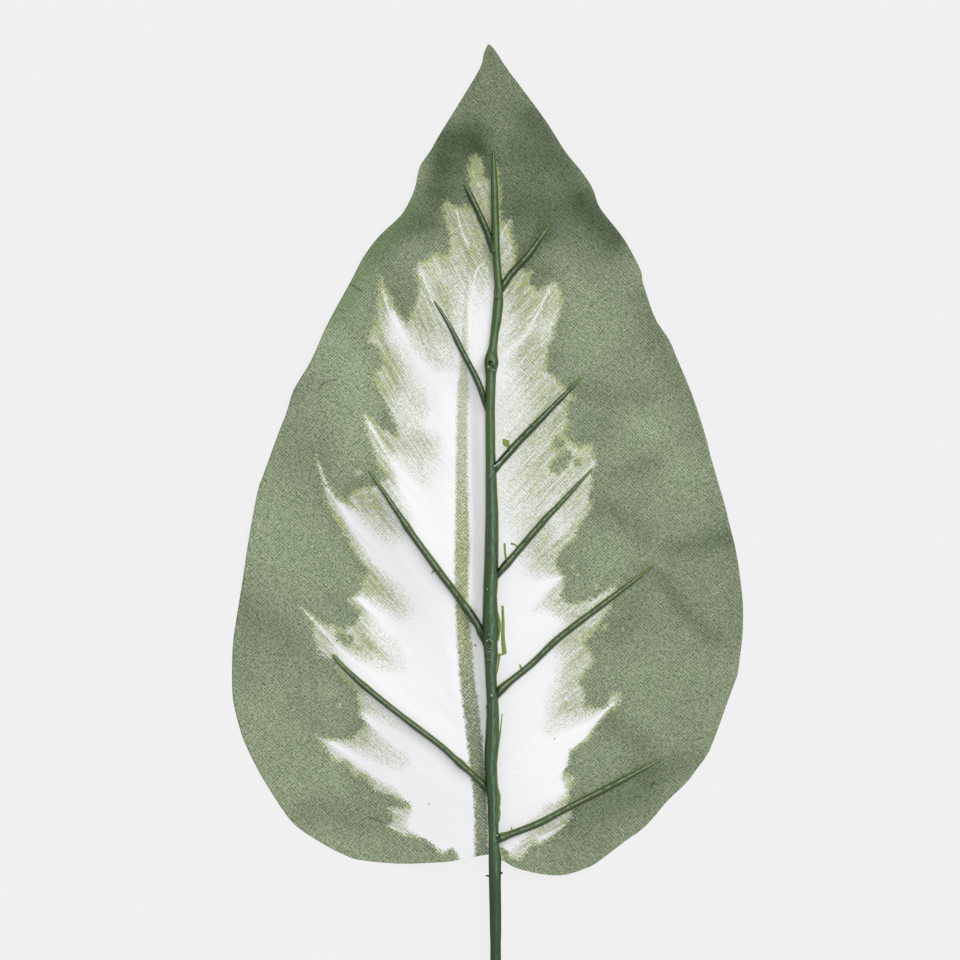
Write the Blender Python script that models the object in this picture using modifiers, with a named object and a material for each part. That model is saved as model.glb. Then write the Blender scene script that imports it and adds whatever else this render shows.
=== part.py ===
"""An artificial dieffenbachia leaf, lying on its face with its ribbed back up.

A sheet of cloth is the blade. One plastic moulding on its back is the stem, the midrib and the side ribs,
and a steel wire runs inside the stem. Metres, +Z up, the tip towards +Y, the stem towards -Y. The origin is
on the floor, under the middle of the leaf.
"""

import math

import bmesh
import bpy
import numpy as np

MM = 0.001

# Blade, in millimetres seen from above: its margin on each side, from the stem up to the tip.
TIP = (0.2, 196.4)
LEFT_MARGIN = [
    (0.2, -70.8), (-10.3, -73.4), (-28.8, -74.9), (-47.4, -71.8), (-64.7, -60.9), (-77.9, -40.3),
    (-83.8, -20.0), (-84.2, -3.3), (-80.9, 19.1), (-76.9, 44.7), (-71.4, 61.6), (-64.2, 81.2),
    (-53.4, 102.4), (-43.1, 121.9), (-33.4, 134.9), (-24.2, 147.4), (-20.8, 158.1), (-12.8, 171.5),
    (-3.8, 185.9), TIP,
]
RIGHT_MARGIN = [
    (4.7, -73.4), (11.5, -76.5), (22.9, -78.5), (35.9, -74.5), (52.3, -62.3), (65.8, -48.0),
    (77.4, -26.6), (83.5, -6.4), (84.3, 14.3), (79.9, 37.7), (72.2, 66.8), (63.1, 91.2),
    (53.1, 111.3), (48.1, 126.5), (39.3, 139.3), (34.6, 148.6), (25.8, 160.5), (15.0, 177.0),
    (6.5, 188.2), TIP,
]
# Where the veins that leave the midrib at a height meet the margin, as a share of the margin's length.
VEIN_ROOTS = [-71.5, -69.0, -62.0, -49.3, 1.3, 40.0, 77.5, 129.9, 170.0, 196.4]
LEFT_VEIN_ENDS = [0.0, 0.13, 0.24, 0.45, 0.64, 0.72, 0.80, 0.90, 0.955, 1.0]
RIGHT_VEIN_ENDS = [0.0, 0.12, 0.24, 0.43, 0.60, 0.69, 0.77, 0.88, 0.95, 1.0]
BLADE_THICKNESS = 0.6
ROWS = 58
STRIPS = 12

# Midrib and stem, seen from above: the centre line from the cut end up to the tip of the midrib.
STEM_LINE = [
    (4.0, -194.9), (3.6, -170.0), (3.2, -140.0), (2.9, -106.3), (2.6, -78.0), (1.9, -50.0), (1.5, -20.0),
    (1.1, 0.0), (1.5, 20.0), (1.7, 38.9), (1.3, 58.4), (1.0, 80.0), (1.5, 91.4), (3.0, 104.0),
    (3.7, 115.0), (2.8, 131.7), (2.3, 150.5), (1.8, 161.0),
]
STEM_RADIUS = 1.85
UPPER_RADIUS = 1.25
UPPER_TAPER_FROM = 135.0
MIDRIB_TIP_RADIUS = 0.3
STEM_BEVEL_STEPS = 4
STEM_POINTS = 66
# Boss where the wire ends, with the hole that the mould's pin leaves.
BOSS_AT = 91.4
BOSS_RADIUS = 2.5
BOSS_DEPTH = 1.2
BOSS_RISE = 0.7
BOSS_FADE = 8.0
BOSS_HOLE_RADIUS = 0.6
BOSS_SIDES = 20
HOLE_SIDES = 12

# Side ribs, from the midrib out to their tips.
SIDE_RIBS = {
    "left_1": [(1.9, 127.0), (-1.9, 138.3), (-5.3, 145.5), (-7.7, 150.2)],
    "left_2": [(0.9, 73.5), (-3.6, 84.6), (-8.6, 93.9), (-13.2, 103.1), (-17.7, 111.2)],
    "left_3": [(0.9, -2.0), (-6.8, 9.9), (-15.6, 21.8), (-25.5, 35.5), (-35.6, 50.2), (-39.2, 55.2)],
    "left_4": [(1.7, -51.5), (-10.6, -39.7), (-25.1, -27.7), (-41.9, -14.7), (-50.1, -6.2)],
    "right_1": [(3.4, 113.0), (8.2, 120.6), (13.3, 126.1), (17.0, 131.1), (20.2, 135.8)],
    "right_2": [(1.5, 54.5), (9.1, 64.4), (19.6, 74.5), (30.9, 85.9)],
    "right_3": [(1.6, 18.2), (7.1, 25.3), (19.0, 38.9), (24.0, 44.1), (34.5, 55.8)],
    "right_4": [(1.4, -21.5), (5.8, -16.3), (14.7, -9.2), (24.0, 0.5), (38.7, 12.1), (49.2, 20.1),
                (54.5, 24.1)],
    "right_5": [(2.3, -67.0), (6.9, -64.8), (17.4, -60.4), (27.9, -54.5), (40.5, -48.2), (51.0, -42.8),
                (58.0, -39.4)],
}
RIB_ROOT_RADIUS = 1.15
RIB_TIP_RADIUS = 0.35
RIB_TAPER = 2.0
RIB_POINTS = 14
RIB_BEVEL_STEPS = 2

# Core wire, from just outside the cut end up to the boss, in a bore that is open at the cut end.
WIRE_RADIUS = 0.75
WIRE_CLEARANCE = 0.3
WIRE_SHOWS = 1.5
WIRE_STOPS_SHORT = 1.5
WIRE_POINTS = 44
WIRE_BEVEL_STEPS = 2
CUT_OVERRUN = 3.0

# Relief: the blade is a low roof along the midrib, pleated between its ribs. Its troughs lie on the floor.
ARCH_HEIGHTS = [
    (-80.0, 4.2), (-20.0, 8.6), (50.0, 11.0), (120.0, 8.5), (165.0, 4.0), (185.0, 1.0), (197.0, -1.2),
]
ROOF_FALL = 11.0
ROOF_HALF_WIDTH = 84.0
ROOF_CURVE = 1.4
PLEAT_HEIGHT = 2.0
PLEAT_RISES_OVER = 55.0
LEFT_PLEAT_ROOTS = [-125.0, -49.3, 1.3, 77.5, 129.9, 185.0, 240.0]
RIGHT_PLEAT_ROOTS = [-102.0, -66.2, -20.8, 19.8, 56.0, 115.2, 180.0, 240.0]
# A vein leaves the midrib at a slope that grows with its root's height: slope = start + growth * height.
LEFT_VEIN_SLOPE = (1.36, 0.0085)
RIGHT_VEIN_SLOPE = (0.88, 0.0047)
FLOOR_SOFTNESS = 0.8
SLOPE_STEP = 0.5
# The moulding and the cloth stay this far apart.
GAP = 0.3
STEM_END_ABOVE_FLOOR = 0.25

# Mesh
CURVE_STEPS = 24
LINE_POINTS = 600
WELD = 0.01
SHARP_ANGLE = math.radians(40)


def smooth_curve(points, count):
    """Points evenly spaced along a Catmull-Rom curve through the given ones."""
    known = np.array(points, float)
    padded = np.vstack([2 * known[0] - known[1], known, 2 * known[-1] - known[-2]])
    fine = []
    for i in range(len(known) - 1):
        before, start, end, after = padded[i:i + 4]
        for t in np.linspace(0.0, 1.0, CURVE_STEPS, endpoint=False):
            fine.append(0.5 * (2 * start + (end - before) * t
                               + (2 * before - 5 * start + 4 * end - after) * t ** 2
                               + (3 * start - before - 3 * end + after) * t ** 3))
    fine = np.vstack(fine + [known[-1]])
    return evenly_along(fine, np.linspace(0.0, 1.0, count))


def evenly_along(line, shares):
    """The points of a polyline at the given shares of its length."""
    steps = np.linalg.norm(np.diff(line, axis=0), axis=1)
    run = np.concatenate([[0.0], np.cumsum(steps)])
    run /= run[-1]
    return np.column_stack([np.interp(shares, run, line[:, k]) for k in range(line.shape[1])])


STEM_CURVE = smooth_curve(STEM_LINE, LINE_POINTS)


def stem_x(y):
    """The midrib's x at a height y, in millimetres."""
    return float(np.interp(y, STEM_CURVE[:, 1], STEM_CURVE[:, 0]))


def arch(y):
    """Height of the blade under the midrib."""
    places, heights = np.array(ARCH_HEIGHTS).T
    slopes = np.gradient(heights, places)
    y = min(max(y, places[0]), places[-1])
    i = min(int(np.searchsorted(places, y, side="right")) - 1, len(places) - 2)
    width = places[i + 1] - places[i]
    t = (y - places[i]) / width
    between = heights[i] * (2 * t ** 3 - 3 * t ** 2 + 1) + heights[i + 1] * (3 * t ** 2 - 2 * t ** 3)
    bend = slopes[i] * (t ** 3 - 2 * t ** 2 + t) + slopes[i + 1] * (t ** 3 - t ** 2)
    return float(between + width * bend)


def ease(share):
    """0 to 1 with a soft start and end."""
    share = min(max(share, 0.0), 1.0)
    return share * share * (3 - 2 * share)


def pleat(side, y):
    """A wave across the veins of one side, 1 on its ribs and -1 half way between them."""
    start, growth = RIGHT_VEIN_SLOPE if side > 0 else LEFT_VEIN_SLOPE
    root = (y - start * abs(side)) / (1 + growth * abs(side))
    roots = RIGHT_PLEAT_ROOTS if side > 0 else LEFT_PLEAT_ROOTS
    phase = float(np.interp(root, roots, range(len(roots))))
    return math.cos(2 * math.pi * phase)


def on_the_floor(height):
    """A height softly stopped by the floor: what would sink into it lies exactly flat."""
    if height <= -FLOOR_SOFTNESS:
        return 0.0
    if height >= FLOOR_SOFTNESS:
        return height
    return (height + FLOOR_SOFTNESS) ** 2 / (4 * FLOOR_SOFTNESS)


def underside(x, y):
    """Height of the blade's lower surface above the floor at a place seen from above, all in millimetres."""
    side = x - stem_x(y)
    across = abs(side) / ROOF_HALF_WIDTH
    roof = arch(y) - ROOF_FALL * across ** ROOF_CURVE
    return on_the_floor(roof + PLEAT_HEIGHT * ease(abs(side) / PLEAT_RISES_OVER) * pleat(side, y))


def back_height(x, y):
    """Height of the blade's upper surface, which faces up and carries the moulding."""
    slope_x = (underside(x + SLOPE_STEP, y) - underside(x - SLOPE_STEP, y)) / (2 * SLOPE_STEP)
    slope_y = (underside(x, y + SLOPE_STEP) - underside(x, y - SLOPE_STEP)) / (2 * SLOPE_STEP)
    return underside(x, y) + BLADE_THICKNESS * math.sqrt(1 + slope_x ** 2 + slope_y ** 2)


def plastic(name, colour, roughness, metallic=0.0):
    """A Principled material."""
    material = bpy.data.materials.new(name)
    material.use_nodes = True
    shader = material.node_tree.nodes["Principled BSDF"]
    shader.inputs["Base Color"].default_value = (*colour, 1.0)
    shader.inputs["Roughness"].default_value = roughness
    shader.inputs["Metallic"].default_value = metallic
    return material


def new_collection(name):
    """A collection in the scene."""
    collection = bpy.data.collections.new(name)
    bpy.context.scene.collection.children.link(collection)
    return collection


def margin_points(margin, ends):
    """The margin's point at the end of each row of the blade's mesh, from the stem to the tip."""
    rows = np.linspace(0.0, 1.0, ROWS + 1)
    return evenly_along(smooth_curve(margin, LINE_POINTS), np.interp(rows, LEFT_VEIN_ENDS, ends))


def make_blade(collection):
    """The cloth: a surface of rows that follow the veins from the midrib out, thickened upwards."""
    left = margin_points(LEFT_MARGIN, LEFT_VEIN_ENDS)
    right = margin_points(RIGHT_MARGIN, RIGHT_VEIN_ENDS)
    roots = np.interp(np.linspace(0.0, 1.0, ROWS + 1), LEFT_VEIN_ENDS, VEIN_ROOTS)
    surface = bmesh.new()
    rows = []
    for i, root in enumerate(roots[:-1]):
        middle = np.array([stem_x(root), root])
        row = []
        for k in range(-STRIPS, STRIPS + 1):
            end = left[i] if k < 0 else right[i]
            share = abs(k) / STRIPS
            x, y = middle + (end - middle) * share
            row.append(surface.verts.new((x * MM, y * MM, underside(x, y) * MM)))
        rows.append(row)
    tip = surface.verts.new((TIP[0] * MM, TIP[1] * MM, underside(*TIP) * MM))
    for lower, upper in zip(rows, rows[1:]):
        for k in range(2 * STRIPS):
            surface.faces.new((lower[k], lower[k + 1], upper[k + 1], upper[k]))
    for k in range(2 * STRIPS):
        surface.faces.new((rows[-1][k], rows[-1][k + 1], tip))
    bmesh.ops.remove_doubles(surface, verts=surface.verts, dist=WELD * MM)
    bmesh.ops.triangulate(surface, faces=surface.faces, quad_method="SHORT_EDGE")
    mesh = bpy.data.meshes.new("blade")
    surface.to_mesh(mesh)
    surface.free()
    blade = bpy.data.objects.new("blade", mesh)
    collection.objects.link(blade)
    mesh.shade_smooth()
    mesh.materials.append(plastic("printed_cloth", (0.27, 0.36, 0.22), 0.85))
    solid = blade.modifiers.new("thickness", "SOLIDIFY")
    solid.thickness = BLADE_THICKNESS * MM
    solid.offset = 1.0
    return blade


def rod(name, points, radii, bevel_steps, collection):
    """A round rod along the points as a closed mesh, from a curve with a bevel and filled caps."""
    curve = bpy.data.curves.new(name, "CURVE")
    curve.dimensions = "3D"
    curve.bevel_depth = 1.0
    curve.bevel_resolution = bevel_steps
    curve.use_fill_caps = True
    spline = curve.splines.new("POLY")
    spline.points.add(len(points) - 1)
    for point, place, radius in zip(spline.points, points, radii):
        point.co = (place[0] * MM, place[1] * MM, place[2] * MM, 1.0)
        point.radius = radius * MM
    guide = bpy.data.objects.new(name + "_guide", curve)
    collection.objects.link(guide)
    bpy.context.view_layer.update()
    evaluated = guide.evaluated_get(bpy.context.evaluated_depsgraph_get())
    mesh = bpy.data.meshes.new_from_object(evaluated)
    solid = bmesh.new()
    solid.from_mesh(mesh)
    bmesh.ops.remove_doubles(solid, verts=solid.verts, dist=WELD * MM)
    bmesh.ops.recalc_face_normals(solid, faces=solid.faces)
    solid.to_mesh(mesh)
    solid.free()
    made = bpy.data.objects.new(name, mesh)
    made.matrix_world = guide.matrix_world
    collection.objects.link(made)
    bpy.data.objects.remove(guide)
    return made


def stem_radius(y):
    """Radius of the stem and midrib at a height y: stout while it holds the wire, slim above the boss."""
    if y < BOSS_AT:
        return STEM_RADIUS
    full = float(np.interp(y, [BOSS_AT, BOSS_AT + BOSS_FADE], [STEM_RADIUS, UPPER_RADIUS]))
    tip = STEM_LINE[-1][1]
    return float(np.interp(y, [UPPER_TAPER_FROM, tip], [full, MIDRIB_TIP_RADIUS]))


def midrib_height(y):
    """Height of the midrib's centre line where it lies on the blade's back."""
    return back_height(stem_x(y), y) + GAP + stem_radius(y)


def stem_height(y):
    """Height of the stem's centre line: on the blade's back, then sloping down to the floor at the cut end."""
    base = VEIN_ROOTS[0]
    if y >= base:
        return midrib_height(y)
    run = base - STEM_LINE[0][1]
    t = (base - y) / run
    start = midrib_height(base)
    start_slope = (start - midrib_height(base + SLOPE_STEP)) / SLOPE_STEP * run
    low = STEM_RADIUS + STEM_END_ABOVE_FLOOR
    return start + (low - start) * (3 * t ** 2 - 2 * t ** 3) + start_slope * (t ** 3 - 2 * t ** 2 + t)


def stem_places(low, high, count):
    """Points along the stem's centre line between two heights."""
    part = STEM_CURVE[(STEM_CURVE[:, 1] > low) & (STEM_CURVE[:, 1] < high)]
    line = np.vstack([[stem_x(low), low], part, [stem_x(high), high]])
    return [(x, y, stem_height(y)) for x, y in evenly_along(line, np.linspace(0.0, 1.0, count))]


def rib_places(points):
    """A side rib's points and radii, from inside the midrib out along the blade's back to a thin tip."""
    places = []
    radii = []
    line = smooth_curve(points, RIB_POINTS)
    for i, (x, y) in enumerate(line):
        share = i / (RIB_POINTS - 1)
        radius = RIB_ROOT_RADIUS + (RIB_TIP_RADIUS - RIB_ROOT_RADIUS) * share ** RIB_TAPER
        places.append((x, y, back_height(x, y) + GAP + radius))
        radii.append(radius)
    return places, radii


def upright_cylinder(name, radius, bottom, top, sides, collection):
    """A round post through the boss, in millimetres."""
    x = stem_x(BOSS_AT)
    bpy.ops.mesh.primitive_cylinder_add(vertices=sides, radius=radius * MM, depth=(top - bottom) * MM,
                                        location=(x * MM, BOSS_AT * MM, (top + bottom) / 2 * MM))
    made = bpy.context.object
    made.name = name
    for other in list(made.users_collection):
        other.objects.unlink(made)
    collection.objects.link(made)
    return made


def apply_boolean(target, operation, collection):
    """Joins a collection's objects to the target or cuts them out, and removes them."""
    modifier = target.modifiers.new(operation.lower(), "BOOLEAN")
    modifier.operation = operation
    modifier.operand_type = "COLLECTION"
    modifier.collection = collection
    modifier.solver = "EXACT"
    bpy.context.view_layer.update()
    evaluated = target.evaluated_get(bpy.context.evaluated_depsgraph_get())
    mesh = bpy.data.meshes.new_from_object(evaluated)
    target.modifiers.clear()
    target.data = mesh
    for other in list(collection.objects):
        bpy.data.objects.remove(other)


def make_moulding(collection, cutters):
    """Stem, midrib, boss and side ribs as one body, with the bore that holds the wire."""
    cut_end = STEM_LINE[0][1]
    places = stem_places(cut_end, STEM_LINE[-1][1], STEM_POINTS)
    radii = [stem_radius(y) for x, y, z in places]
    moulding = rod("stem_and_ribs", places, radii, STEM_BEVEL_STEPS, collection)
    for name, points in SIDE_RIBS.items():
        rib, rib_radii = rib_places(points)
        rod("rib_" + name, rib, rib_radii, RIB_BEVEL_STEPS, cutters)
    middle = stem_height(BOSS_AT)
    top = middle + STEM_RADIUS + BOSS_RISE
    upright_cylinder("boss", BOSS_RADIUS, middle - BOSS_DEPTH, top, BOSS_SIDES, cutters)
    apply_boolean(moulding, "UNION", cutters)

    bore = stem_places(cut_end - CUT_OVERRUN, BOSS_AT, WIRE_POINTS)
    rod("bore", bore, [WIRE_RADIUS + WIRE_CLEARANCE] * len(bore), WIRE_BEVEL_STEPS, cutters)
    apply_boolean(moulding, "DIFFERENCE", cutters)
    upright_cylinder("boss_hole", BOSS_HOLE_RADIUS, middle, top + CUT_OVERRUN, HOLE_SIDES, cutters)
    apply_boolean(moulding, "DIFFERENCE", cutters)
    moulding.data.materials.clear()
    moulding.data.materials.append(plastic("green_plastic", (0.06, 0.12, 0.055), 0.4))
    moulding.data.shade_smooth()
    moulding.data.set_sharp_from_angle(angle=SHARP_ANGLE)
    return moulding


def make_wire(collection):
    """The steel wire, from just outside the cut end up to the boss's hole."""
    places = stem_places(STEM_LINE[0][1] - WIRE_SHOWS, BOSS_AT - WIRE_STOPS_SHORT, WIRE_POINTS)
    wire = rod("core_wire", places, [WIRE_RADIUS] * len(places), WIRE_BEVEL_STEPS, collection)
    wire.data.materials.append(plastic("steel_wire", (0.5, 0.5, 0.5), 0.35, 1.0))
    return wire


def build():
    """Clears the scene and makes the leaf."""
    for thing in list(bpy.data.objects):
        bpy.data.objects.remove(thing)
    leaf = new_collection("dieffenbachia_leaf")
    cutters = new_collection("cutters")
    make_blade(leaf)
    make_moulding(leaf, cutters)
    make_wire(leaf)


build()
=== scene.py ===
"""The looks of an artificial dieffenbachia leaf that lies on its face, with its ribbed back up.

Cloth printed on its face and seen from its back, one plastic moulding on it, thin films of plastic along the
moulding, and a steel wire in the stem. Lengths are millimetres unless a name says otherwise.
"""

import math

import bmesh
import bpy
import numpy as np
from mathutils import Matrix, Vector


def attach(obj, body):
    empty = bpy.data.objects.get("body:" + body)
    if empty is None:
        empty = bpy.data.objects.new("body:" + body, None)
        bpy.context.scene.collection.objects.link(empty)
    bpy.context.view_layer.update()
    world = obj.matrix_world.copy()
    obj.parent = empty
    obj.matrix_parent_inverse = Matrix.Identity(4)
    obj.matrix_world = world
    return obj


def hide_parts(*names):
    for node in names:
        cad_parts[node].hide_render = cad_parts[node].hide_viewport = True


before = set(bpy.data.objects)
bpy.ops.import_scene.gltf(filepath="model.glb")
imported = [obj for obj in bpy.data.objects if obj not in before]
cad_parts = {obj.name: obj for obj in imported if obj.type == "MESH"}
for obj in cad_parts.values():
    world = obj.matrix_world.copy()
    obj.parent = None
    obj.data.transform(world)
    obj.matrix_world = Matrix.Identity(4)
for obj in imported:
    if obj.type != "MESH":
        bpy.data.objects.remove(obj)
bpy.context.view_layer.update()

MM = 0.001

# The photograph: how large a pixel is on the leaf, and the pixel above the frame's origin.
PIXEL = 0.33
ORIGIN_COLUMN = 487.35
ORIGIN_ROW = 638.0
PHOTO_SIDE = 960

# Camera, straight above the middle of the photograph.
CAMERA_DISTANCE = 2000.0
CAMERA_FOCUS_HEIGHT = 5.0
SENSOR = 36.0

# Cloth, in pixels of the photograph: its margin on each side, from the stem up to the tip.
TIP = (488.0, 43.0)
LEFT_MARGIN = [
    (488, 852.6), (476.5, 854.8), (456.1, 860.5), (438.3, 862.7), (400, 864.4), (360.3, 861), (343.7, 855.6),
    (328.4, 848), (314.4, 839.7), (301.6, 831.4), (291.4, 822.4), (281.2, 809), (260.8, 776.5),
    (245.5, 746.2), (239.1, 728.4), (233.4, 705.4), (231.5, 685), (232.1, 648), (235.3, 622.5), (242.3, 580),
    (247.4, 545.8), (251.3, 522.9), (257.6, 489.7), (263.4, 473.1), (277.4, 434.8), (286.3, 412.5),
    (292.7, 392), (300, 379), (311.5, 359.7), (325.5, 327.8), (337.7, 304.4), (351.7, 278.9), (363.8, 255.9),
    (378.5, 236.8), (395.7, 220.8), (402.7, 213.2), (408.9, 202.4), (414.7, 188.4), (419.1, 168),
    (424.2, 159), (431.3, 148.8), (440.8, 132.2), (459.3, 102.3), (475.9, 74.8), (481.6, 63.4), (484, 52),
    TIP,
]
RIGHT_MARGIN = [
    (501.7, 860.5), (505.9, 862.4), (514.8, 867.6), (527.6, 871.4), (540.3, 874.2), (556.6, 875.8),
    (568, 874.7), (582, 870.3), (596.1, 863.9), (624.2, 842.9), (645.9, 826.9), (667.6, 802), (686.7, 783.5),
    (696.9, 770.2), (707.1, 756.1), (714.7, 739.5), (730.9, 694.3), (737.9, 675.2), (740.5, 657.3),
    (743, 636.9), (743.7, 616.5), (742.7, 594.8), (737.3, 555.3), (729.6, 523.7), (724.5, 503.3),
    (711.8, 458.6), (706, 435.7), (692.7, 396.1), (678.6, 361.7), (669.7, 340), (654.8, 317.3),
    (643.3, 284.1), (640.1, 268.8), (624.2, 238.9), (606.3, 215.9), (598.7, 205.1), (592.3, 187.8),
    (581.5, 171.2), (565.5, 151.5), (546.7, 121.4), (518.6, 83.1), (507.1, 67.8), (493.8, 47.4), TIP,
]
# Where the veins that leave the midrib at a height meet the margin, as a share of the margin's length.
VEIN_ROOTS = [-71.5, -69.0, -62.0, -49.3, 1.3, 40.0, 77.5, 129.9, 170.0, 196.4]
LEFT_VEIN_ENDS = [0.0, 0.13, 0.24, 0.45, 0.64, 0.72, 0.80, 0.90, 0.955, 1.0]
RIGHT_VEIN_ENDS = [0.0, 0.12, 0.24, 0.43, 0.60, 0.69, 0.77, 0.88, 0.95, 1.0]
CLOTH_THICKNESS = 0.45
CLOTH_ROWS = 320
BACK_STRIPS = 110
FACE_STRIPS = 27

# Midrib and stem, seen from above: the centre line from the cut end up to the tip of the midrib.
STEM_LINE = [
    (4.0, -194.9), (3.6, -170.0), (3.2, -140.0), (2.9, -106.3), (2.6, -78.0), (1.9, -50.0), (1.5, -20.0),
    (1.1, 0.0), (1.5, 20.0), (1.7, 38.9), (1.3, 58.4), (1.0, 80.0), (1.5, 91.4), (3.0, 104.0),
    (3.7, 115.0), (2.8, 131.7), (2.3, 150.5), (1.8, 161.0),
]
# The same in the photograph, swelling and thinning as the mould left it: row, left edge, right edge.
STEM_EDGES = [
    (150, 492.2, 493.6), (160, 491, 495.8), (175, 490.6, 497), (201, 490.8, 498.6), (249, 491.6, 499.8),
    (273, 493.6, 501.4), (285, 494.4, 502.6), (303, 493.2, 503.2), (321, 491.6, 501.2), (333, 490.4, 498.6),
    (345, 489, 497.3), (351, 487.2, 497.2), (357, 484.8, 497.8), (363, 484.2, 498.2), (369, 484.8, 496.6),
    (376, 485.6, 495.6), (405, 485.3, 494.8), (453, 485.5, 495.2), (480, 485.7, 496.4), (513, 485.7, 498.2),
    (537, 485.2, 498.4), (560, 484.7, 498.2), (584, 483.8, 497.6), (596, 483.4, 496.6), (620, 482.5, 497.9),
    (632, 482.6, 498.8), (644, 483.2, 497.2), (656, 484.4, 498), (668, 485.2, 496.4), (680, 485.7, 496.4),
    (704, 487, 498.3), (716, 486.8, 498.8), (740, 485.7, 499.2), (752, 485, 498), (764, 484.8, 496.8),
    (782, 486, 497.4), (800, 488.1, 498.8), (836, 488.6, 498.4), (848, 488.7, 499.6), (860, 488.6, 501.2),
    (884, 488.9, 500.9), (908, 489.4, 501.3), (932, 489.8, 501.3), (944, 490.2, 500.9), (960, 490.3, 501),
    (1228, 494.2, 504.8),
]
STEM_RADIUS = 1.85
UPPER_RADIUS = 1.25
UPPER_TAPER_FROM = 135.0
MIDRIB_TIP_RADIUS = 0.3
BOSS_AT = 91.4
BOSS_FADE = 8.0
STEM_END_ABOVE_FLOOR = 0.25
GAP = 0.3

# Relief: the blade is a low roof along the midrib, pleated between its ribs. Its troughs lie on the floor.
ARCH_HEIGHTS = [
    (-80.0, 4.2), (-20.0, 8.6), (50.0, 11.0), (120.0, 8.5), (165.0, 4.0), (185.0, 1.0), (197.0, -1.2),
]
ROOF_FALL = 11.0
ROOF_HALF_WIDTH = 84.0
ROOF_CURVE = 1.4
PLEAT_HEIGHT = 2.0
PLEAT_RISES_OVER = 55.0
LEFT_PLEAT_ROOTS = [-125.0, -49.3, 1.3, 77.5, 129.9, 185.0, 240.0]
RIGHT_PLEAT_ROOTS = [-102.0, -66.2, -20.8, 19.8, 56.0, 115.2, 180.0, 240.0]
LEFT_VEIN_SLOPE = (1.36, 0.0085)
RIGHT_VEIN_SLOPE = (0.88, 0.0047)
FLOOR_SOFTNESS = 0.8
SLOPE_STEP = 0.5
CAD_THICKNESS = 0.6

PHOTO_MIDDLE = PHOTO_SIDE / 2
CURVE_STEPS = 12
LINE_POINTS = 600
TRACED_POINTS = 24
FAR = 1.0e6


def seen(pixels):
    """Places in the photograph as millimetres on the leaf."""
    return [((column - ORIGIN_COLUMN) * PIXEL, (ORIGIN_ROW - row) * PIXEL) for column, row in pixels]


def smooth_curve(points, count):
    """Points evenly spaced along a Catmull-Rom curve through the given ones."""
    known = np.array(points, float)
    padded = np.vstack([2 * known[0] - known[1], known, 2 * known[-1] - known[-2]])
    fine = []
    for i in range(len(known) - 1):
        before, start, end, after = padded[i:i + 4]
        for t in np.linspace(0.0, 1.0, CURVE_STEPS, endpoint=False):
            fine.append(0.5 * (2 * start + (end - before) * t
                               + (2 * before - 5 * start + 4 * end - after) * t ** 2
                               + (3 * start - before - 3 * end + after) * t ** 3))
    fine = np.vstack(fine + [known[-1]])
    return evenly_along(fine, np.linspace(0.0, 1.0, count))


def evenly_along(line, shares):
    """The points of a polyline at the given shares of its length."""
    steps = np.linalg.norm(np.diff(line, axis=0), axis=1)
    run = np.concatenate([[0.0], np.cumsum(steps)])
    run /= run[-1]
    return np.column_stack([np.interp(shares, run, line[:, k]) for k in range(line.shape[1])])


STEM_CURVE = smooth_curve(STEM_LINE, LINE_POINTS)


def stem_x(y):
    """The midrib's x at heights y."""
    return np.interp(y, STEM_CURVE[:, 1], STEM_CURVE[:, 0])


def ease(share):
    """0 to 1 with a soft start and end."""
    share = np.clip(share, 0.0, 1.0)
    return share * share * (3 - 2 * share)


def bell(distance, width):
    """1 at no distance, falling off softly over a width."""
    return np.exp(-(distance / width) ** 2)


def traced(pixels, count=TRACED_POINTS):
    """A smooth curve through places in the photograph, in millimetres on the leaf."""
    return smooth_curve(seen(pixels), count)


def along_a_line(share, start, end, stop=1.0):
    """1 along a line, softly 0 at its start and its stop. The larger the numbers, the shorter the ends."""
    return ease(share * start) * ease((stop - share) * end)


def arch(y):
    """Height of the blade under the midrib."""
    places, heights = np.array(ARCH_HEIGHTS).T
    slopes = np.gradient(heights, places)
    y = np.clip(y, places[0], places[-1])
    i = np.clip(np.searchsorted(places, y, side="right") - 1, 0, len(places) - 2)
    width = places[i + 1] - places[i]
    t = (y - places[i]) / width
    between = heights[i] * (2 * t ** 3 - 3 * t ** 2 + 1) + heights[i + 1] * (3 * t ** 2 - 2 * t ** 3)
    bend = slopes[i] * (t ** 3 - 2 * t ** 2 + t) + slopes[i + 1] * (t ** 3 - t ** 2)
    return between + width * bend


def pleat(side, y):
    """A wave across the veins of one side, 1 on its ribs and -1 half way between them."""
    waves = []
    sides = ((LEFT_VEIN_SLOPE, LEFT_PLEAT_ROOTS), (RIGHT_VEIN_SLOPE, RIGHT_PLEAT_ROOTS))
    for (start, growth), roots in sides:
        root = (y - start * np.abs(side)) / (1 + growth * np.abs(side))
        waves.append(np.cos(2 * math.pi * np.interp(root, roots, range(len(roots)))))
    return np.where(side > 0, waves[1], waves[0])


def on_the_floor(height):
    """Heights softly stopped by the floor: what would sink into it lies exactly flat."""
    soft = (height + FLOOR_SOFTNESS) ** 2 / (4 * FLOOR_SOFTNESS)
    return np.where(height <= -FLOOR_SOFTNESS, 0.0, np.where(height >= FLOOR_SOFTNESS, height, soft))


def roof(x, y):
    """Height of the blade's lower surface before the floor stops it."""
    side = x - stem_x(y)
    fall = ROOF_FALL * (np.abs(side) / ROOF_HALF_WIDTH) ** ROOF_CURVE
    return arch(y) - fall + PLEAT_HEIGHT * ease(np.abs(side) / PLEAT_RISES_OVER) * pleat(side, y)


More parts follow.
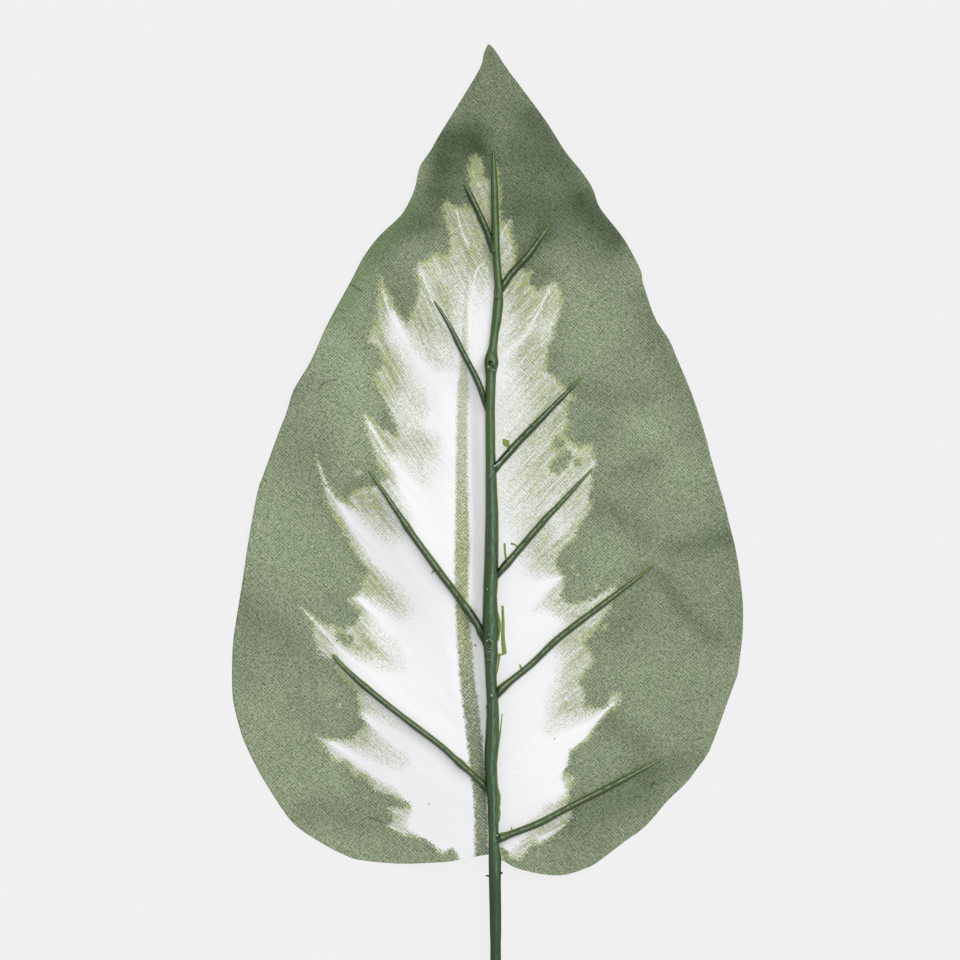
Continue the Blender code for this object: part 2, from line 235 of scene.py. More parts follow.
def raised(surface, thickness, x, y):
    """Height of the upper side of cloth this thick, whose lower side is the given surface."""
    slope_x = (surface(x + SLOPE_STEP, y) - surface(x - SLOPE_STEP, y)) / (2 * SLOPE_STEP)
    slope_y = (surface(x, y + SLOPE_STEP) - surface(x, y - SLOPE_STEP)) / (2 * SLOPE_STEP)
    return surface(x, y) + thickness * np.sqrt(1 + slope_x ** 2 + slope_y ** 2)


def cad_back(x, y):
    """Height of the back of the CAD model's blade, on which its moulding is laid out."""
    return raised(lambda a, b: on_the_floor(roof(a, b)), CAD_THICKNESS, x, y)


# Creases: lines pressed into the cloth, from the margin in to the midrib, in pixels. The print leaves them
# clear, from a hair's width at the margin's end to a band, this wide in millimetres, at the midrib's end.
CREASES = {
    "left_a": ([(381.6, 284), (389, 312), (406, 343), (421, 367), (444, 390), (459, 409)], 1.6),
    "left_b": ([(420, 270), (432, 300), (447, 330), (460, 360)], 0.8),
    "left_c": ([(456, 208), (463, 235), (471, 247)], 0.4),
    "left_d": ([(488, 262), (478, 268), (474, 282), (470, 310), (468, 345)], 1.2),
    "left_e": ([(365, 414), (379, 441), (392, 462), (405, 480), (419, 495), (455, 540)], 1.0),
    "left_f": ([(315.7, 455), (327, 487), (340, 508), (355, 528), (379, 551), (399, 564), (425, 583)], 1.0),
    "left_g": ([(355, 596), (370.5, 611), (390, 625), (405, 635)], 0.8),
    "left_h": ([(301.6, 608.5), (318, 625), (331, 640), (348, 657), (367, 671), (390, 682)], 0.9),
    "left_i": ([(336, 702), (354, 712), (376, 728), (400, 746)], 0.8),
    "left_j": ([(318, 738.6), (331, 745), (348, 756), (366, 767), (388, 776)], 0.9),
    "left_k": ([(387, 826), (405, 834)], 0.6),
    "right_a": ([(550.5, 286.5), (544, 300), (532.7, 323), (515, 346), (499.5, 359)], 1.6),
    "right_b": ([(512, 218), (504, 230), (500, 243)], 0.3),
    "right_c": ([(566, 575), (552, 582), (534, 594)], 0.7),
    "right_d": ([(615, 702), (604.6, 711), (590, 726), (575, 740)], 1.0),
    "right_e": ([(584.6, 808), (569, 821), (553, 833), (540, 838)], 0.9),
}
CREASE_RISE = 0.16
CREASE_HALF_WIDTH = 0.75
CREASE_WIDENS = 1.4

# Soft folds in the cloth: a line in pixels, its height and its half width in millimetres.
FOLDS = {
    "right_4_tip": ([(650, 580), (678, 612), (705, 640)], -0.5, 2.2),
    "upper_left": ([(395, 232), (368, 275), (345, 330)], 0.5, 4.0),
    "right_upper": ([(575, 165), (600, 210), (640, 265)], 0.4, 4.0),
    "right_vein_1": ([(560, 440), (620, 400), (670, 380)], -0.35, 5.0),
    "right_vein_2": ([(610, 470), (660, 430), (700, 415)], 0.3, 5.0),
    "tip_left": ([(452, 165), (466, 140), (482, 122)], -0.6, 4.0),
}
# On the left the midrib pulls the cloth up: a gutter runs beside it, this far out at a height, and closes up.
GUTTER_OFFSETS = [(-60.0, 2.2), (-45.0, 3.0), (-25.0, 4.5), (0.0, 6.8), (85.0, 7.2)]
GUTTER_DEPTH = 0.42
GUTTER_STARTS = 0.28
GUTTER_ENDS = 2.4
GUTTER_RANGE = (-66.0, 92.0)
GUTTER_FADE = 14.0

# The cloth is drawn up to these side ribs, this far, and falls away faster on their lower side.
DRAWN_UP = {"left_2": 0.7, "left_3": 1.0, "left_4": 0.9, "right_5": 0.4}
DRAWN_REACH_BELOW = 2.5
DRAWN_REACH_ABOVE = 5.5
# How short a form's two ends are, and where on its line it stops.
CREASE_ENDS = (6, 3, 0.85)
DRAWN_ENDS = (4, 5)
FOLD_ENDS = (4, 4)

RIPPLE_SEED = 11
RIPPLE_WAVES = 9
RIPPLE_LENGTHS = (22.0, 60.0)
RIPPLE_HEIGHT = 0.16


def nearest_on(line, x, y):
    """To a polyline from every place: the distance, the share of its length, and 1 or -1 for the side."""
    line = np.array(line, float)
    steps = np.linalg.norm(np.diff(line, axis=0), axis=1)
    run = np.concatenate([[0.0], np.cumsum(steps)])
    distance = np.full(np.shape(x), FAR)
    share = np.zeros(np.shape(x))
    side = np.ones(np.shape(x))
    for (x0, y0), (x1, y1), start, length in zip(line[:-1], line[1:], run, steps):
        t = np.clip(((x - x0) * (x1 - x0) + (y - y0) * (y1 - y0)) / length ** 2, 0.0, 1.0)
        gap = np.hypot(x - x0 - t * (x1 - x0), y - y0 - t * (y1 - y0))
        closer = gap < distance
        distance = np.where(closer, gap, distance)
        share = np.where(closer, (start + t * length) / run[-1], share)
        turn = (x1 - x0) * (y - y0) - (y1 - y0) * (x - x0)
        side = np.where(closer, np.where(turn > 0, 1.0, -1.0), side)
    return distance, share, side


def nearest(line, x, y):
    """Distance from every place to a polyline, and the share of its length at the nearest point."""
    return nearest_on(line, x, y)[:2]


def closest(found):
    """Of what nearest_on gives for several lines, what it gives for the closest one at each place."""
    best = found[0]
    for other in found[1:]:
        closer = other[0] < best[0]
        best = [np.where(closer, new, old) for new, old in zip(other, best)]
    return best


def ripples(x, y):
    """Low swells of cloth that never lies quite flat."""
    draw = np.random.default_rng(RIPPLE_SEED)
    height = np.zeros(np.shape(x))
    for _ in range(RIPPLE_WAVES):
        heading = draw.uniform(0.0, math.pi)
        length = draw.uniform(*RIPPLE_LENGTHS)
        phase = draw.uniform(0.0, 2 * math.pi)
        along = x * math.cos(heading) + y * math.sin(heading)
        height += np.sin(2 * math.pi * along / length + phase)
    return RIPPLE_HEIGHT * height / math.sqrt(RIPPLE_WAVES / 2)


def crease_relief(x, y):
    """Low ridges along the creases."""
    height = np.zeros(np.shape(x))
    for pixels, _ in CREASES.values():
        distance, share = nearest(traced(pixels), x, y)
        ridge = CREASE_RISE * along_a_line(share, *CREASE_ENDS) * bell(distance, CREASE_HALF_WIDTH)
        height = np.maximum(height, ridge)
    return height


def drawn_up(x, y):
    """How far the cloth is drawn up to its side ribs."""
    height = np.zeros(np.shape(x))
    for name, rise in DRAWN_UP.items():
        distance, share, side = nearest_on(traced(SIDE_RIBS[name][0]), x, y)
        below = side > 0 if name.startswith("left") else side < 0
        reach = np.where(below, DRAWN_REACH_BELOW, DRAWN_REACH_ABOVE)
        height = np.maximum(height, rise * along_a_line(share, *DRAWN_ENDS) * bell(distance, reach))
    return height


def fold_relief(x, y):
    """Soft folds, the gutter beside the midrib and the swells."""
    height = ripples(x, y) + drawn_up(x, y)
    for pixels, rise, width in FOLDS.values():
        distance, share = nearest(traced(pixels), x, y)
        height = height + rise * along_a_line(share, *FOLD_ENDS) * bell(distance, width)
    offset = np.interp(y, *np.array(GUTTER_OFFSETS).T)
    out = np.maximum(stem_x(y) - x, 0.0) / offset
    falls = ease((out - GUTTER_STARTS) / (1 - GUTTER_STARTS))
    rises = 1 - ease((out - 1) / (GUTTER_ENDS - 1))
    near = ease((y - GUTTER_RANGE[0]) / GUTTER_FADE) * ease((GUTTER_RANGE[1] - y) / GUTTER_FADE)
    return height - GUTTER_DEPTH * offset * near * falls * rises


def cloth_face(x, y):
    """Height of the cloth's printed face, which looks down."""
    return on_the_floor(roof(x, y) + fold_relief(x, y) + crease_relief(x, y))


def cloth_back(x, y):
    """Height of the cloth's back, which looks up and carries the moulding."""
    return raised(cloth_face, CLOTH_THICKNESS, x, y)

# The print, in pixels. Inside LIGHT_AREA the green thins out, and inside CLEAR_AREAS none of it is left.
LIGHT_AREA = [
    (490, 180), (483.5, 177), (481.5, 157), (476, 154), (469.5, 157), (468, 178), (470, 190), (473, 207),
    (465, 207), (455, 206), (447, 199), (441.5, 207), (445, 219), (449, 235), (448.5, 255), (441, 256),
    (432, 251), (428.5, 260), (416, 262), (414.5, 272), (419, 289), (415, 304), (407, 320), (399, 313),
    (391, 295), (383.5, 281), (376, 262), (379, 279), (376.5, 301), (376.5, 319), (369, 332), (368, 342),
    (378, 350), (384, 362), (378, 370), (371, 378), (378, 389), (385, 404), (393, 421), (397, 435),
    (382, 428), (362, 409), (366.7, 435), (373, 451), (377, 463), (386, 478), (376, 484), (361.6, 488),
    (350, 492), (347.6, 502), (336, 495), (326, 480), (315.7, 452), (320, 478), (326, 502), (337, 522),
    (347.6, 539), (358, 559), (369, 572), (361.6, 584), (355, 594), (347, 599.5), (360, 611), (355, 624),
    (343, 628), (326, 624), (299, 604), (312, 625), (313, 639), (319.5, 654), (331, 661), (343.7, 678.6),
    (355, 690), (356.5, 702), (365, 724.5), (350, 738), (336, 738), (315, 736), (332, 761), (347.6, 764),
    (352.7, 775), (365, 778), (375.6, 792), (389.6, 797), (410, 806), (388, 807), (392, 821), (387, 826),
    (401, 835), (415, 839), (429, 843), (437, 852), (443, 857), (452, 850), (458, 862), (475, 862),
    (480, 870), (505, 870), (502, 848), (512, 861), (522, 860), (527.6, 853.5), (532.7, 844.6), (540, 847),
    (552.8, 836.5), (565, 824), (573, 814), (568, 806), (570, 798), (570.6, 787), (577, 778), (565.5, 773),
    (570, 762.5), (570.6, 751), (588.5, 741), (595, 728), (609.7, 711), (620, 704.5), (621, 691), (611, 692),
    (604.6, 707), (585, 706), (585.5, 690.5), (580, 682), (586.8, 671), (595.7, 658.6), (583, 642),
    (589, 637), (602, 620), (611, 606), (619, 581), (593, 597), (576, 603), (566, 602), (562.5, 594),
    (566, 580), (557, 566), (557, 558), (567, 544), (574, 540), (583, 521), (589, 512), (593, 504),
    (588, 496), (592, 488), (592, 473), (599, 461), (592, 456), (592, 443), (578, 447), (564, 434),
    (568, 423), (568, 411), (565, 402), (576, 399), (563, 385), (555, 376), (546, 370), (546.7, 364),
    (549, 348.5), (556, 327), (562, 309), (563, 293), (555, 280), (537.8, 290), (529, 282), (532.5, 271),
    (524, 271), (516, 262), (515.5, 248), (511, 233), (512, 218), (506, 225), (501, 214), (501, 190),
    (497, 165), (493, 175),
]
DARK_ISLANDS = [
    ((342, 636), 4.5), ((348, 640), 4.3), ((556, 467), 5.5), ((561, 462), 7.0), ((566, 456.5), 5.0),
    ((558.5, 443), 5.5), ((578, 463), 3.0),
]
LIGHT_SPOTS = [
    ((358, 473), 3.5), ((596, 586), 2.5), ((604.5, 627), 2.8), ((573.5, 566), 1.5), ((577, 574), 1.5),
    ((623, 629), 1.0), ((339.5, 706), 1.8), ((292, 709), 1.2), ((366, 798), 1.0),
]
# Free of print: what lies along the midrib, with wedges that run out from it along the creases.
CLEAR_AREAS = {
    "left": [
        (486, 300), (478, 352), (470, 374), (458, 381), (448, 384), (434, 374), (415, 354), (403, 336),
        (394, 314), (398, 334), (408, 356), (420, 376), (430, 392), (441, 410), (452, 441), (446, 464),
        (440, 482), (440, 500), (428, 498), (410, 484), (396, 464), (404, 488), (418, 508), (423, 524),
        (408, 546), (398, 553), (380, 545), (358, 525), (342, 505), (352, 527), (366, 547), (376, 562),
        (391, 572), (402, 578), (416, 600), (413, 627), (396, 624), (378, 612), (360, 599), (376, 616),
        (392, 631), (404, 633), (412, 655), (412, 678), (380, 677), (354, 664), (338, 648), (352, 671),
        (374, 692), (398, 711), (424, 737), (424, 750), (400, 738), (376, 722), (352, 707), (372, 724),
        (396, 746), (414, 754), (417, 768), (402, 774), (384, 770), (360, 758), (332, 743), (350, 760),
        (376, 776), (394, 784), (406, 798), (414, 812), (410, 828), (430, 841), (440, 848), (458, 850),
        (462, 861), (486, 862),
    ],
    "right": [
        (497, 372), (501, 390), (503, 420), (501, 480), (502, 530), (508, 550), (514, 564), (518, 582),
        (540, 584), (561, 577), (542, 590), (530, 602), (524, 619), (545, 616), (557, 623), (546, 634),
        (536, 646), (548, 656), (549, 680), (541, 690), (538, 702), (538, 735), (548, 741), (572, 731),
        (590, 722), (608, 708), (592, 728), (577, 743), (569, 753), (568, 766), (556, 776), (564, 790),
        (556, 796), (540, 800), (532, 812), (520, 822), (524, 832), (514, 842), (510, 850), (501, 847),
    ],
}
# Where the green spray on the light part is denser, or thinner with a minus: as for PAINTED_SHADE_AND_LIGHT.
VEILS = {
    "light_tip": ([(475, 160), (475, 172)], 8, 0.24),
    "under_light_tip": ([(474, 184), (482, 212)], 8, -0.16),
    "under_first_left_finger": ([(425, 275), (452, 275)], 14, -0.24),
    "beside_midrib_upper": ([(507, 240), (509, 264)], 8, -0.28),
    "between_right_ribs": ([(522, 292), (526, 304)], 10, 0.10),
    "above_the_gutter": ([(482, 280), (484, 302)], 7, 0.14),
    "under_right_crease": ([(536, 320), (546, 340)], 11, -0.16),
    "under_rib_left_2": ([(424, 296), (432, 306)], 10, -0.12),
    "tip_of_right_crease": ([(553, 300), (550, 335)], 9, -0.12),
    "along_midrib_right": ([(505, 395), (508, 450), (512, 515)], 12, 0.22),
    "left_finger_1": ([(371, 336), (386, 384)], 9, 0.08),
    "left_haze": ([(398, 352), (410, 380), (420, 402)], 13, 0.13),
    "beside_left_crease": ([(416, 344), (430, 356), (438, 364)], 7, 0.23),
    "left_finger_2": ([(402, 402), (414, 420), (428, 424)], 12, -0.34),
    "over_right_blotch": ([(552, 424), (566, 432)], 9, 0.10),
    "left_finger_3": ([(388, 440), (398, 465)], 10, 0.08),
    "middle_left": ([(425, 445), (440, 465)], 12, 0.06),
    "left_finger_4": ([(365, 500), (385, 530)], 11, 0.20),
    "left_finger_5": ([(370, 586), (402, 608)], 13, 0.21),
    "left_finger_6": ([(345, 632), (365, 638)], 9, 0.05),
    "left_finger_7": ([(355, 640), (400, 665)], 11, 0.06),
    "left_low": ([(370, 735), (395, 755)], 11, 0.17),
    "under_third_rib": ([(553, 506), (560, 530)], 10, -0.32),
}
MIDVEIN_STRIPE = [
    ((471, 240), 1.2), ((466, 300), 1.8), ((464, 360), 3.5), ((462, 430), 5.8), ((462, 500), 5.6),
    ((462.5, 540), 6.5), ((461.8, 600), 7.5), ((464.5, 640), 6.5), ((467.5, 680), 7.5), ((472.5, 720), 8.0),
    ((476.5, 760), 7.5), ((480.5, 800), 6.5), ((481.5, 862), 6.5),
]
STRIPE_STRENGTHS = [
    (240, 0.25), (330, 0.38), (390, 0.60), (430, 0.64), (480, 0.71), (560, 0.82), (650, 0.87), (700, 0.95),
    (760, 1.05),
]
# Painted shade on the cloth where its folds face away from the light, or painted light with a minus: a line,
# how far it reaches in pixels, and by how much.
PAINTED_SHADE_AND_LIGHT = {
    "whole_upper_part": ([(480, 60), (505, 130), (530, 200)], 60, 0.37),
    "whole_right_half": ([(640, 290), (680, 420), (705, 560), (700, 680), (640, 800)], 70, 0.12),
    "light_streak_under_tip": ([(489, 78), (494, 118), (506, 145)], 9, -0.05),
    "shade_left_of_tip": ([(444, 138), (462, 136), (474, 140)], 17, 0.42),
    "left_of_first_rib": ([(415, 210), (448, 190), (450, 165)], 22, 0.40),
    "beside_the_light_tip": ([(484, 152), (490, 170)], 7, 0.14),
    "dark_right_of_midrib": ([(515, 150), (535, 160)], 18, 0.18),
    "left_of_tip_low": ([(438, 165), (430, 188)], 13, 0.24),
    "right_shoulder_1": ([(535, 118), (556, 146), (566, 168)], 18, 0.32),
    "right_shoulder_2": ([(585, 200), (602, 220), (618, 236)], 19, 0.46),
    "under_right_shoulder": ([(525, 205), (560, 215), (600, 250)], 24, 0.22),
    "around_first_right_rib": ([(520, 262), (545, 235)], 13, 0.28),
    "left_shoulder": ([(428, 228), (402, 230), (385, 246)], 16, 0.34),
    "left_notch": ([(398, 275), (405, 308)], 10, 0.16),
    "right_notch": ([(535, 280), (545, 270)], 10, 0.24),
    "right_bulge": ([(575, 300), (595, 330)], 22, -0.05),
    "margin_right_1": ([(640, 300), (662, 335), (680, 385)], 15, 0.18),
    "margin_right_2": ([(688, 400), (705, 450)], 10, 0.08),
    "shade_by_second_rib": ([(548, 356), (556, 358)], 10, 0.16),
    "tip_of_second_rib": ([(583, 388), (604, 396), (640, 398)], 12, 0.20),
    "under_second_rib": ([(590, 430), (605, 425)], 18, 0.18),
    "light_patch_right": ([(640, 420), (662, 440), (680, 470)], 20, -0.16),
    "vein_streak_right": ([(604, 478), (656, 462)], 8, 0.16),
    "fold_right_a": ([(604, 505), (626, 520), (640, 534)], 14, 0.24),
    "fold_right_b": ([(672, 549), (700, 544), (740, 534)], 12, 0.25),
    "fold_right_c": ([(664, 580), (690, 618), (715, 638)], 10, 0.22),
    "under_fourth_rib": ([(645, 575), (630, 612), (612, 632)], 16, 0.17),
    "margin_right_3": ([(722, 515), (735, 560), (740, 640)], 16, 0.12),
    "shade_low_right": ([(608, 722), (640, 742)], 14, 0.22),
    "tip_of_fifth_rib": ([(640, 772), (665, 770), (700, 765)], 14, 0.20),
    "under_fifth_rib": ([(575, 825), (610, 806), (645, 792)], 22, 0.24),
    "bottom_right": ([(555, 868), (600, 852)], 16, 0.12),
    "margin_left": ([(240, 605), (262, 618), (292, 640)], 19, 0.18),
    "low_margin_left": ([(240, 640), (245, 680)], 18, 0.15),
    "arc_left": ([(295, 392), (312, 380)], 11, 0.12),
    "upper_margin_left": ([(275, 455), (290, 470)], 14, 0.07),
    "light_left_a": ([(358, 372), (362, 405), (345, 480)], 20, -0.14),
    "light_left_b": ([(256, 530), (262, 560)], 18, -0.08),
    "light_left_c": ([(300, 600), (312, 640)], 14, -0.08),
    "light_left_d": ([(332, 695), (336, 765)], 16, -0.14),
    "finger_left_a": ([(386, 422), (394, 430)], 8, 0.16),
    "finger_left_b": ([(345, 490), (360, 484)], 8, 0.14),
    "finger_left_c": ([(330, 600), (346, 612)], 8, 0.16),
    "tip_of_last_left_rib": ([(340, 672), (352, 686)], 8, 0.14),
    "fold_low_left": ([(308, 815), (330, 808), (360, 825)], 17, 0.22),
    "finger_left_d": ([(366, 722), (350, 728)], 7, 0.10),
}
# Short marks on the cloth: a slit near the left margin, a fine arc below it, and the odd scratch.
MARKS = {
    "slit": [(349, 283), (356, 288), (364, 293)],
    "arc": [(339.5, 379), (329, 381), (322, 385), (317, 392)],
    "scratch_low_right": [(650, 790), (656, 781)],
    "scratch_low_left": [(366, 817), (386, 824)],
}
MARK_HALF_WIDTH = 0.26
# Dirt on the cloth: place in pixels, radius in millimetres, colour.
SPECKS = [
    ((475.5, 645), 0.28, (52, 24, 34)), ((429, 804), 0.24, (120, 132, 116)),
    ((554.5, 738.5), 0.24, (112, 118, 112)), ((517.7, 767.8), 0.18, (176, 182, 176)),
    ((510, 718), 0.2, (200, 206, 198)),
]
LEFT_CURL = [(408, 203), (383, 238), (362, 268), (348, 294), (338, 314)]
LEFT_CURL_WIDTH = 4.2

STRIPE_POINTS = 80
CURL_POINTS = 40
HAIR = 0.05
NEVER_ZERO = 0.001
VALUE_LIMIT = 9.0


def inside(outline, x, y):
    """Whether each place is inside a closed outline."""
    outline = np.array(outline, float)
    within = np.zeros(np.shape(x), bool)
    for (x0, y0), (x1, y1) in zip(outline, np.roll(outline, -1, axis=0)):
        crosses = (y0 > y) != (y1 > y)
        rise = y1 - y0 if y1 != y0 else 1.0
        within ^= crosses & (x < x0 + (x1 - x0) * (y - y0) / rise)
    return within


def depth_inside(outline, x, y):
    """Distance to a closed outline, positive inside it and negative outside."""
    closed = list(outline) + [outline[0]]
    distance, _ = nearest(closed, x, y)
    return np.where(inside(outline, x, y), distance, -distance)


def from_spot(pixel, x, y):
    """Distance from every place to one in the photograph."""
    (spot_x, spot_y), = seen([pixel])
    return np.hypot(x - spot_x, y - spot_y)


def light_depth(x, y):
    """How far a place is inside the light part of the print, negative in the solid green."""
    depth = depth_inside(seen(LIGHT_AREA), x, y)
    for pixel, radius in DARK_ISLANDS:
        depth = np.minimum(depth, from_spot(pixel, x, y) - radius * PIXEL)
    for pixel, radius in LIGHT_SPOTS:
        depth = np.maximum(depth, radius * PIXEL - from_spot(pixel, x, y))
    return depth


def spray_share(depth, x, y):
    """How much green spray is left, 1 at the solid green and 0 in the clear parts."""
    clear = np.max([depth_inside(seen(outline), x, y) for outline in CLEAR_AREAS.values()], axis=0)
    from_clear = np.maximum(-clear, 0.0)
    return from_clear / (from_clear + np.maximum(depth, 0.0) + NEVER_ZERO)


def vein_root(x, y):
    """Height on the midrib of the vein that runs through each place, in millimetres."""
    side = np.abs(x - stem_x(y))
    slopes = (RIGHT_VEIN_SLOPE, LEFT_VEIN_SLOPE)
    return np.where(x > stem_x(y), *[(y - start * side) / (1 + growth * side) for start, growth in slopes])


def stripe_depth(x, y):
    """How far a place is inside the green line printed along the midvein."""
    pixels, widths = zip(*MIDVEIN_STRIPE)
    distance, share = nearest(traced(pixels, STRIPE_POINTS), x, y)
    return np.interp(share, np.linspace(0.0, 1.0, len(widths)), widths) * PIXEL - distance


def stripe_strength(y):
    """How dense the midvein's line is: it fades out towards the tip."""
    return np.interp(ORIGIN_ROW - y / PIXEL, *np.array(STRIPE_STRENGTHS).T)


def washes(table, x, y):
    """The sum of a table's soft washes at each place."""
    total = np.zeros(np.shape(x))
    for pixels, reach, strength in table.values():
        total = total + strength * bell(nearest(seen(pixels), x, y)[0], reach * PIXEL)
    return total


def print_values(x, y, _):
    """What the cloth's materials read at each vertex, by name."""
    depth = light_depth(x, y)
    creases = [nearest_on(traced(pixels), x, y) for pixels, _ in CREASES.values()]
    bands = [bell(distance, width * share ** CREASE_WIDENS + HAIR)
             for (distance, share, _), (_, width) in zip(creases, CREASES.values())]
    crease_gap, crease_run, crease_side = closest(creases)
    mark_gap, mark_run, mark_side = closest([nearest_on(seen(pixels), x, y) for pixels in MARKS.values()])
    return {
        "light_depth": depth,
        "spray": spray_share(depth, x, y),
        "crease_side": np.clip(crease_gap * crease_side, -VALUE_LIMIT, VALUE_LIMIT),
        "crease_gap": np.minimum(crease_gap, VALUE_LIMIT),
        "crease_run": crease_run,
        "crease_band": np.max(bands, axis=0),
        "vein_root": vein_root(x, y),
        "vein_run": np.abs(x - stem_x(y)),
        "stripe": stripe_depth(x, y),
        "stripe_strength": stripe_strength(y),
        "shade": washes(PAINTED_SHADE_AND_LIGHT, x, y),
        "veil": washes(VEILS, x, y),
        "curl": bell(nearest(traced(LEFT_CURL, CURL_POINTS), x, y)[0], LEFT_CURL_WIDTH),
        "mark_side": np.clip(mark_gap * mark_side, -VALUE_LIMIT, VALUE_LIMIT),
        "mark_run": mark_run,
    }


def give_values(mesh, values_at):
    """Numbers for each of a mesh's vertices, which its material reads by name."""
    places = np.empty(len(mesh.vertices) * 3)
    mesh.vertices.foreach_get("co", places)
    for name, values in values_at(*(places.reshape(-1, 3).T / MM)).items():
        attribute = mesh.attributes.new(name, "FLOAT", "POINT")
        attribute.data.foreach_set("value", np.asarray(values, np.float32))


def srgb(red, green, blue):
    """A colour of the screen, 0 to 255, as the linear one that a shader takes."""
    shares = np.array([red, green, blue]) / 255.0
    linear = np.where(shares <= 0.04045, shares / 12.92, ((shares + 0.055) / 1.055) ** 2.4)
    return (*linear.tolist(), 1.0)


class Value:
    """What comes out of a node. A sum, a product or a share of such values is a node of its own."""

    def __init__(self, nodes, socket):
        self.nodes = nodes
        self.socket = socket

    def __add__(self, other):
        return self.nodes.math("ADD", self, other)

    def __sub__(self, other):
        return self.nodes.math("SUBTRACT", self, other)

    def __rsub__(self, other):
        return self.nodes.math("SUBTRACT", other, self)

    def __mul__(self, other):
        return self.nodes.math("MULTIPLY", self, other)

    def __truediv__(self, other):
        return self.nodes.math("DIVIDE", self, other)

    def swing(self, weight, base=1.0):
        """base, and weight times how far the value is above one half."""
        return (self - 0.5) * weight + base

    def floor(self):
        return self.nodes.math("FLOOR", self)

    def limited(self):
        """The value, held between 0 and 1."""
        return self.nodes.math("MINIMUM", self.nodes.math("MAXIMUM", self, 0.0), 1.0)

    def step(self, low, high):
        """0 at low, 1 at high and soft between them."""
        inputs = {"Value": self, "From Min": low, "From Max": high}
        return self.nodes.add("MapRange", "Result", inputs, interpolation_type="SMOOTHSTEP")

    def bell(self, width):
        """1 where the value is 0, falling off softly over a width on both sides."""
        share = self / width
        return self.nodes.math("EXPONENT", share * share * -1.0)


class Nodes:
    """Writes one material's nodes: most methods add a node and give what comes out of it."""

    def __init__(self, name):
        self.material = bpy.data.materials.new(name)
        self.material.use_nodes = True
        self.tree = self.material.node_tree

    def put(self, value, socket):
        """Joins what comes out of a node to a socket, or sets a plain value on it."""
        if isinstance(value, Value):
            self.tree.links.new(value.socket, socket)
        else:
            socket.default_value = value

    def add(self, kind, output, inputs, **settings):
        """A new node of a kind, set up and joined. Gives one of its outputs."""
        node = self.tree.nodes.new("ShaderNode" + kind)
        for name, setting in settings.items():
            setattr(node, name, setting)
        for name, value in inputs.items():
            self.put(value, node.inputs[name])
        return Value(self, node.outputs[output])

    def math(self, operation, *values):
        return self.add("Math", 0, dict(enumerate(values)), operation=operation)

    def vector(self, operation, first, second):
        output = "Value" if operation == "DOT_PRODUCT" else "Vector"
        return self.add("VectorMath", output, {0: first, 1: second}, operation=operation)

    def combine(self, x, y, z):
        return self.add("CombineXYZ", 0, {0: x, 1: y, 2: z})

    def place(self):
        """Where a point is, in millimetres."""
        return self.vector("MULTIPLY", self.add("TexCoord", "Object", {}), (1 / MM, 1 / MM, 1 / MM))

    def values(self, name):
        """The number that a mesh holds for each vertex under a name."""
        return self.add("Attribute", "Fac", {}, attribute_name=name)

    def noise(self, where, scale, detail, roughness):
        return self.add("TexNoise", "Fac",
                        {"Vector": where, "Scale": scale, "Detail": detail, "Roughness": roughness})

    def chance(self, x, y, z):
        """A random number from 0 to 1 that depends on three numbers alone."""
        return self.add("TexWhiteNoise", "Value", {"Vector": self.combine(x, y, z)}, noise_dimensions="3D")

    def mix(self, share, first, second):
        """The first colour, covered by a share of the second."""
        return self.add("Mix", 2, {0: share, 6: first, 7: second}, data_type="RGBA")

    def scaled(self, colour, factor):
        """A colour made lighter or darker by a factor."""
        colour = colour[:3] if isinstance(colour, tuple) else colour
        return self.vector("MULTIPLY", colour, self.combine(factor, factor, factor))

    def bump(self, height, distance, strength=1.0):
        return self.add("Bump", "Normal", {"Strength": strength, "Distance": distance, "Height": height})

    def finish_with(self, **inputs):
        """Sets the shader's inputs, named with underscores for blanks."""
        shader = self.tree.nodes["Principled BSDF"]
        for name, value in inputs.items():
            self.put(value, shader.inputs[name.replace("_", " ")])
        return self.material


# Weave: threads run both ways at half a right angle to the leaf, in stretches that took more or less dye.
DIAGONAL = math.sqrt(0.5)
THREAD_WAYS = [(DIAGONAL, DIAGONAL, 0.0), (DIAGONAL, -DIAGONAL, 0.0)]
THREAD_PERIOD = 0.85
CROSS_PERIOD = 0.80
THREAD_STRETCH = 1.6
THREAD_UNEVENNESS = 1.5
THREAD_WANDER = 0.9
DYE_SPOT = 0.33
THREAD_SHARE = 0.20
CROSS_SHARE = 0.17
SPOT_SHARE = 0.62
# Different layers of one noise have nothing to do with each other.
THREAD_LAYER = 0.5
CROSS_LAYER = 3.5
SPOT_LAYER = 7.0
# Noises: features a millimetre, octaves, roughness.
WANDER_NOISE = (0.35, 1.0, 0.5)
PATCH_NOISE = (0.05, 3.0, 0.55)
FINE_NOISE = (0.8, 2.0, 0.6)
CLUSTER_NOISE = (0.45, 2.0, 0.6)
VEIN_NOISE = (1.0, 2.0, 0.6)
# Noises drawn out along the veins: features a millimetre across them and along them, and the layer.
BRUSH = (0.30, 0.05, 0.0)
STREAKS = (0.80, 0.07, 5.0)

# The solid green. Pairs are where a soft step starts and ends.
GRAIN = 0.88
TONE_SWING = 0.14
BESIDE_LIGHT_PART = (-6.0, -1.0)
BESIDE_SHADE = 0.08
CURL_COVER = 0.52
CURL_GRAIN = 0.25
# How much a shade takes from red, green and blue: the shaded cloth is a little greener too.
SHADE_SHARES = (1.02, 0.97, 1.04)

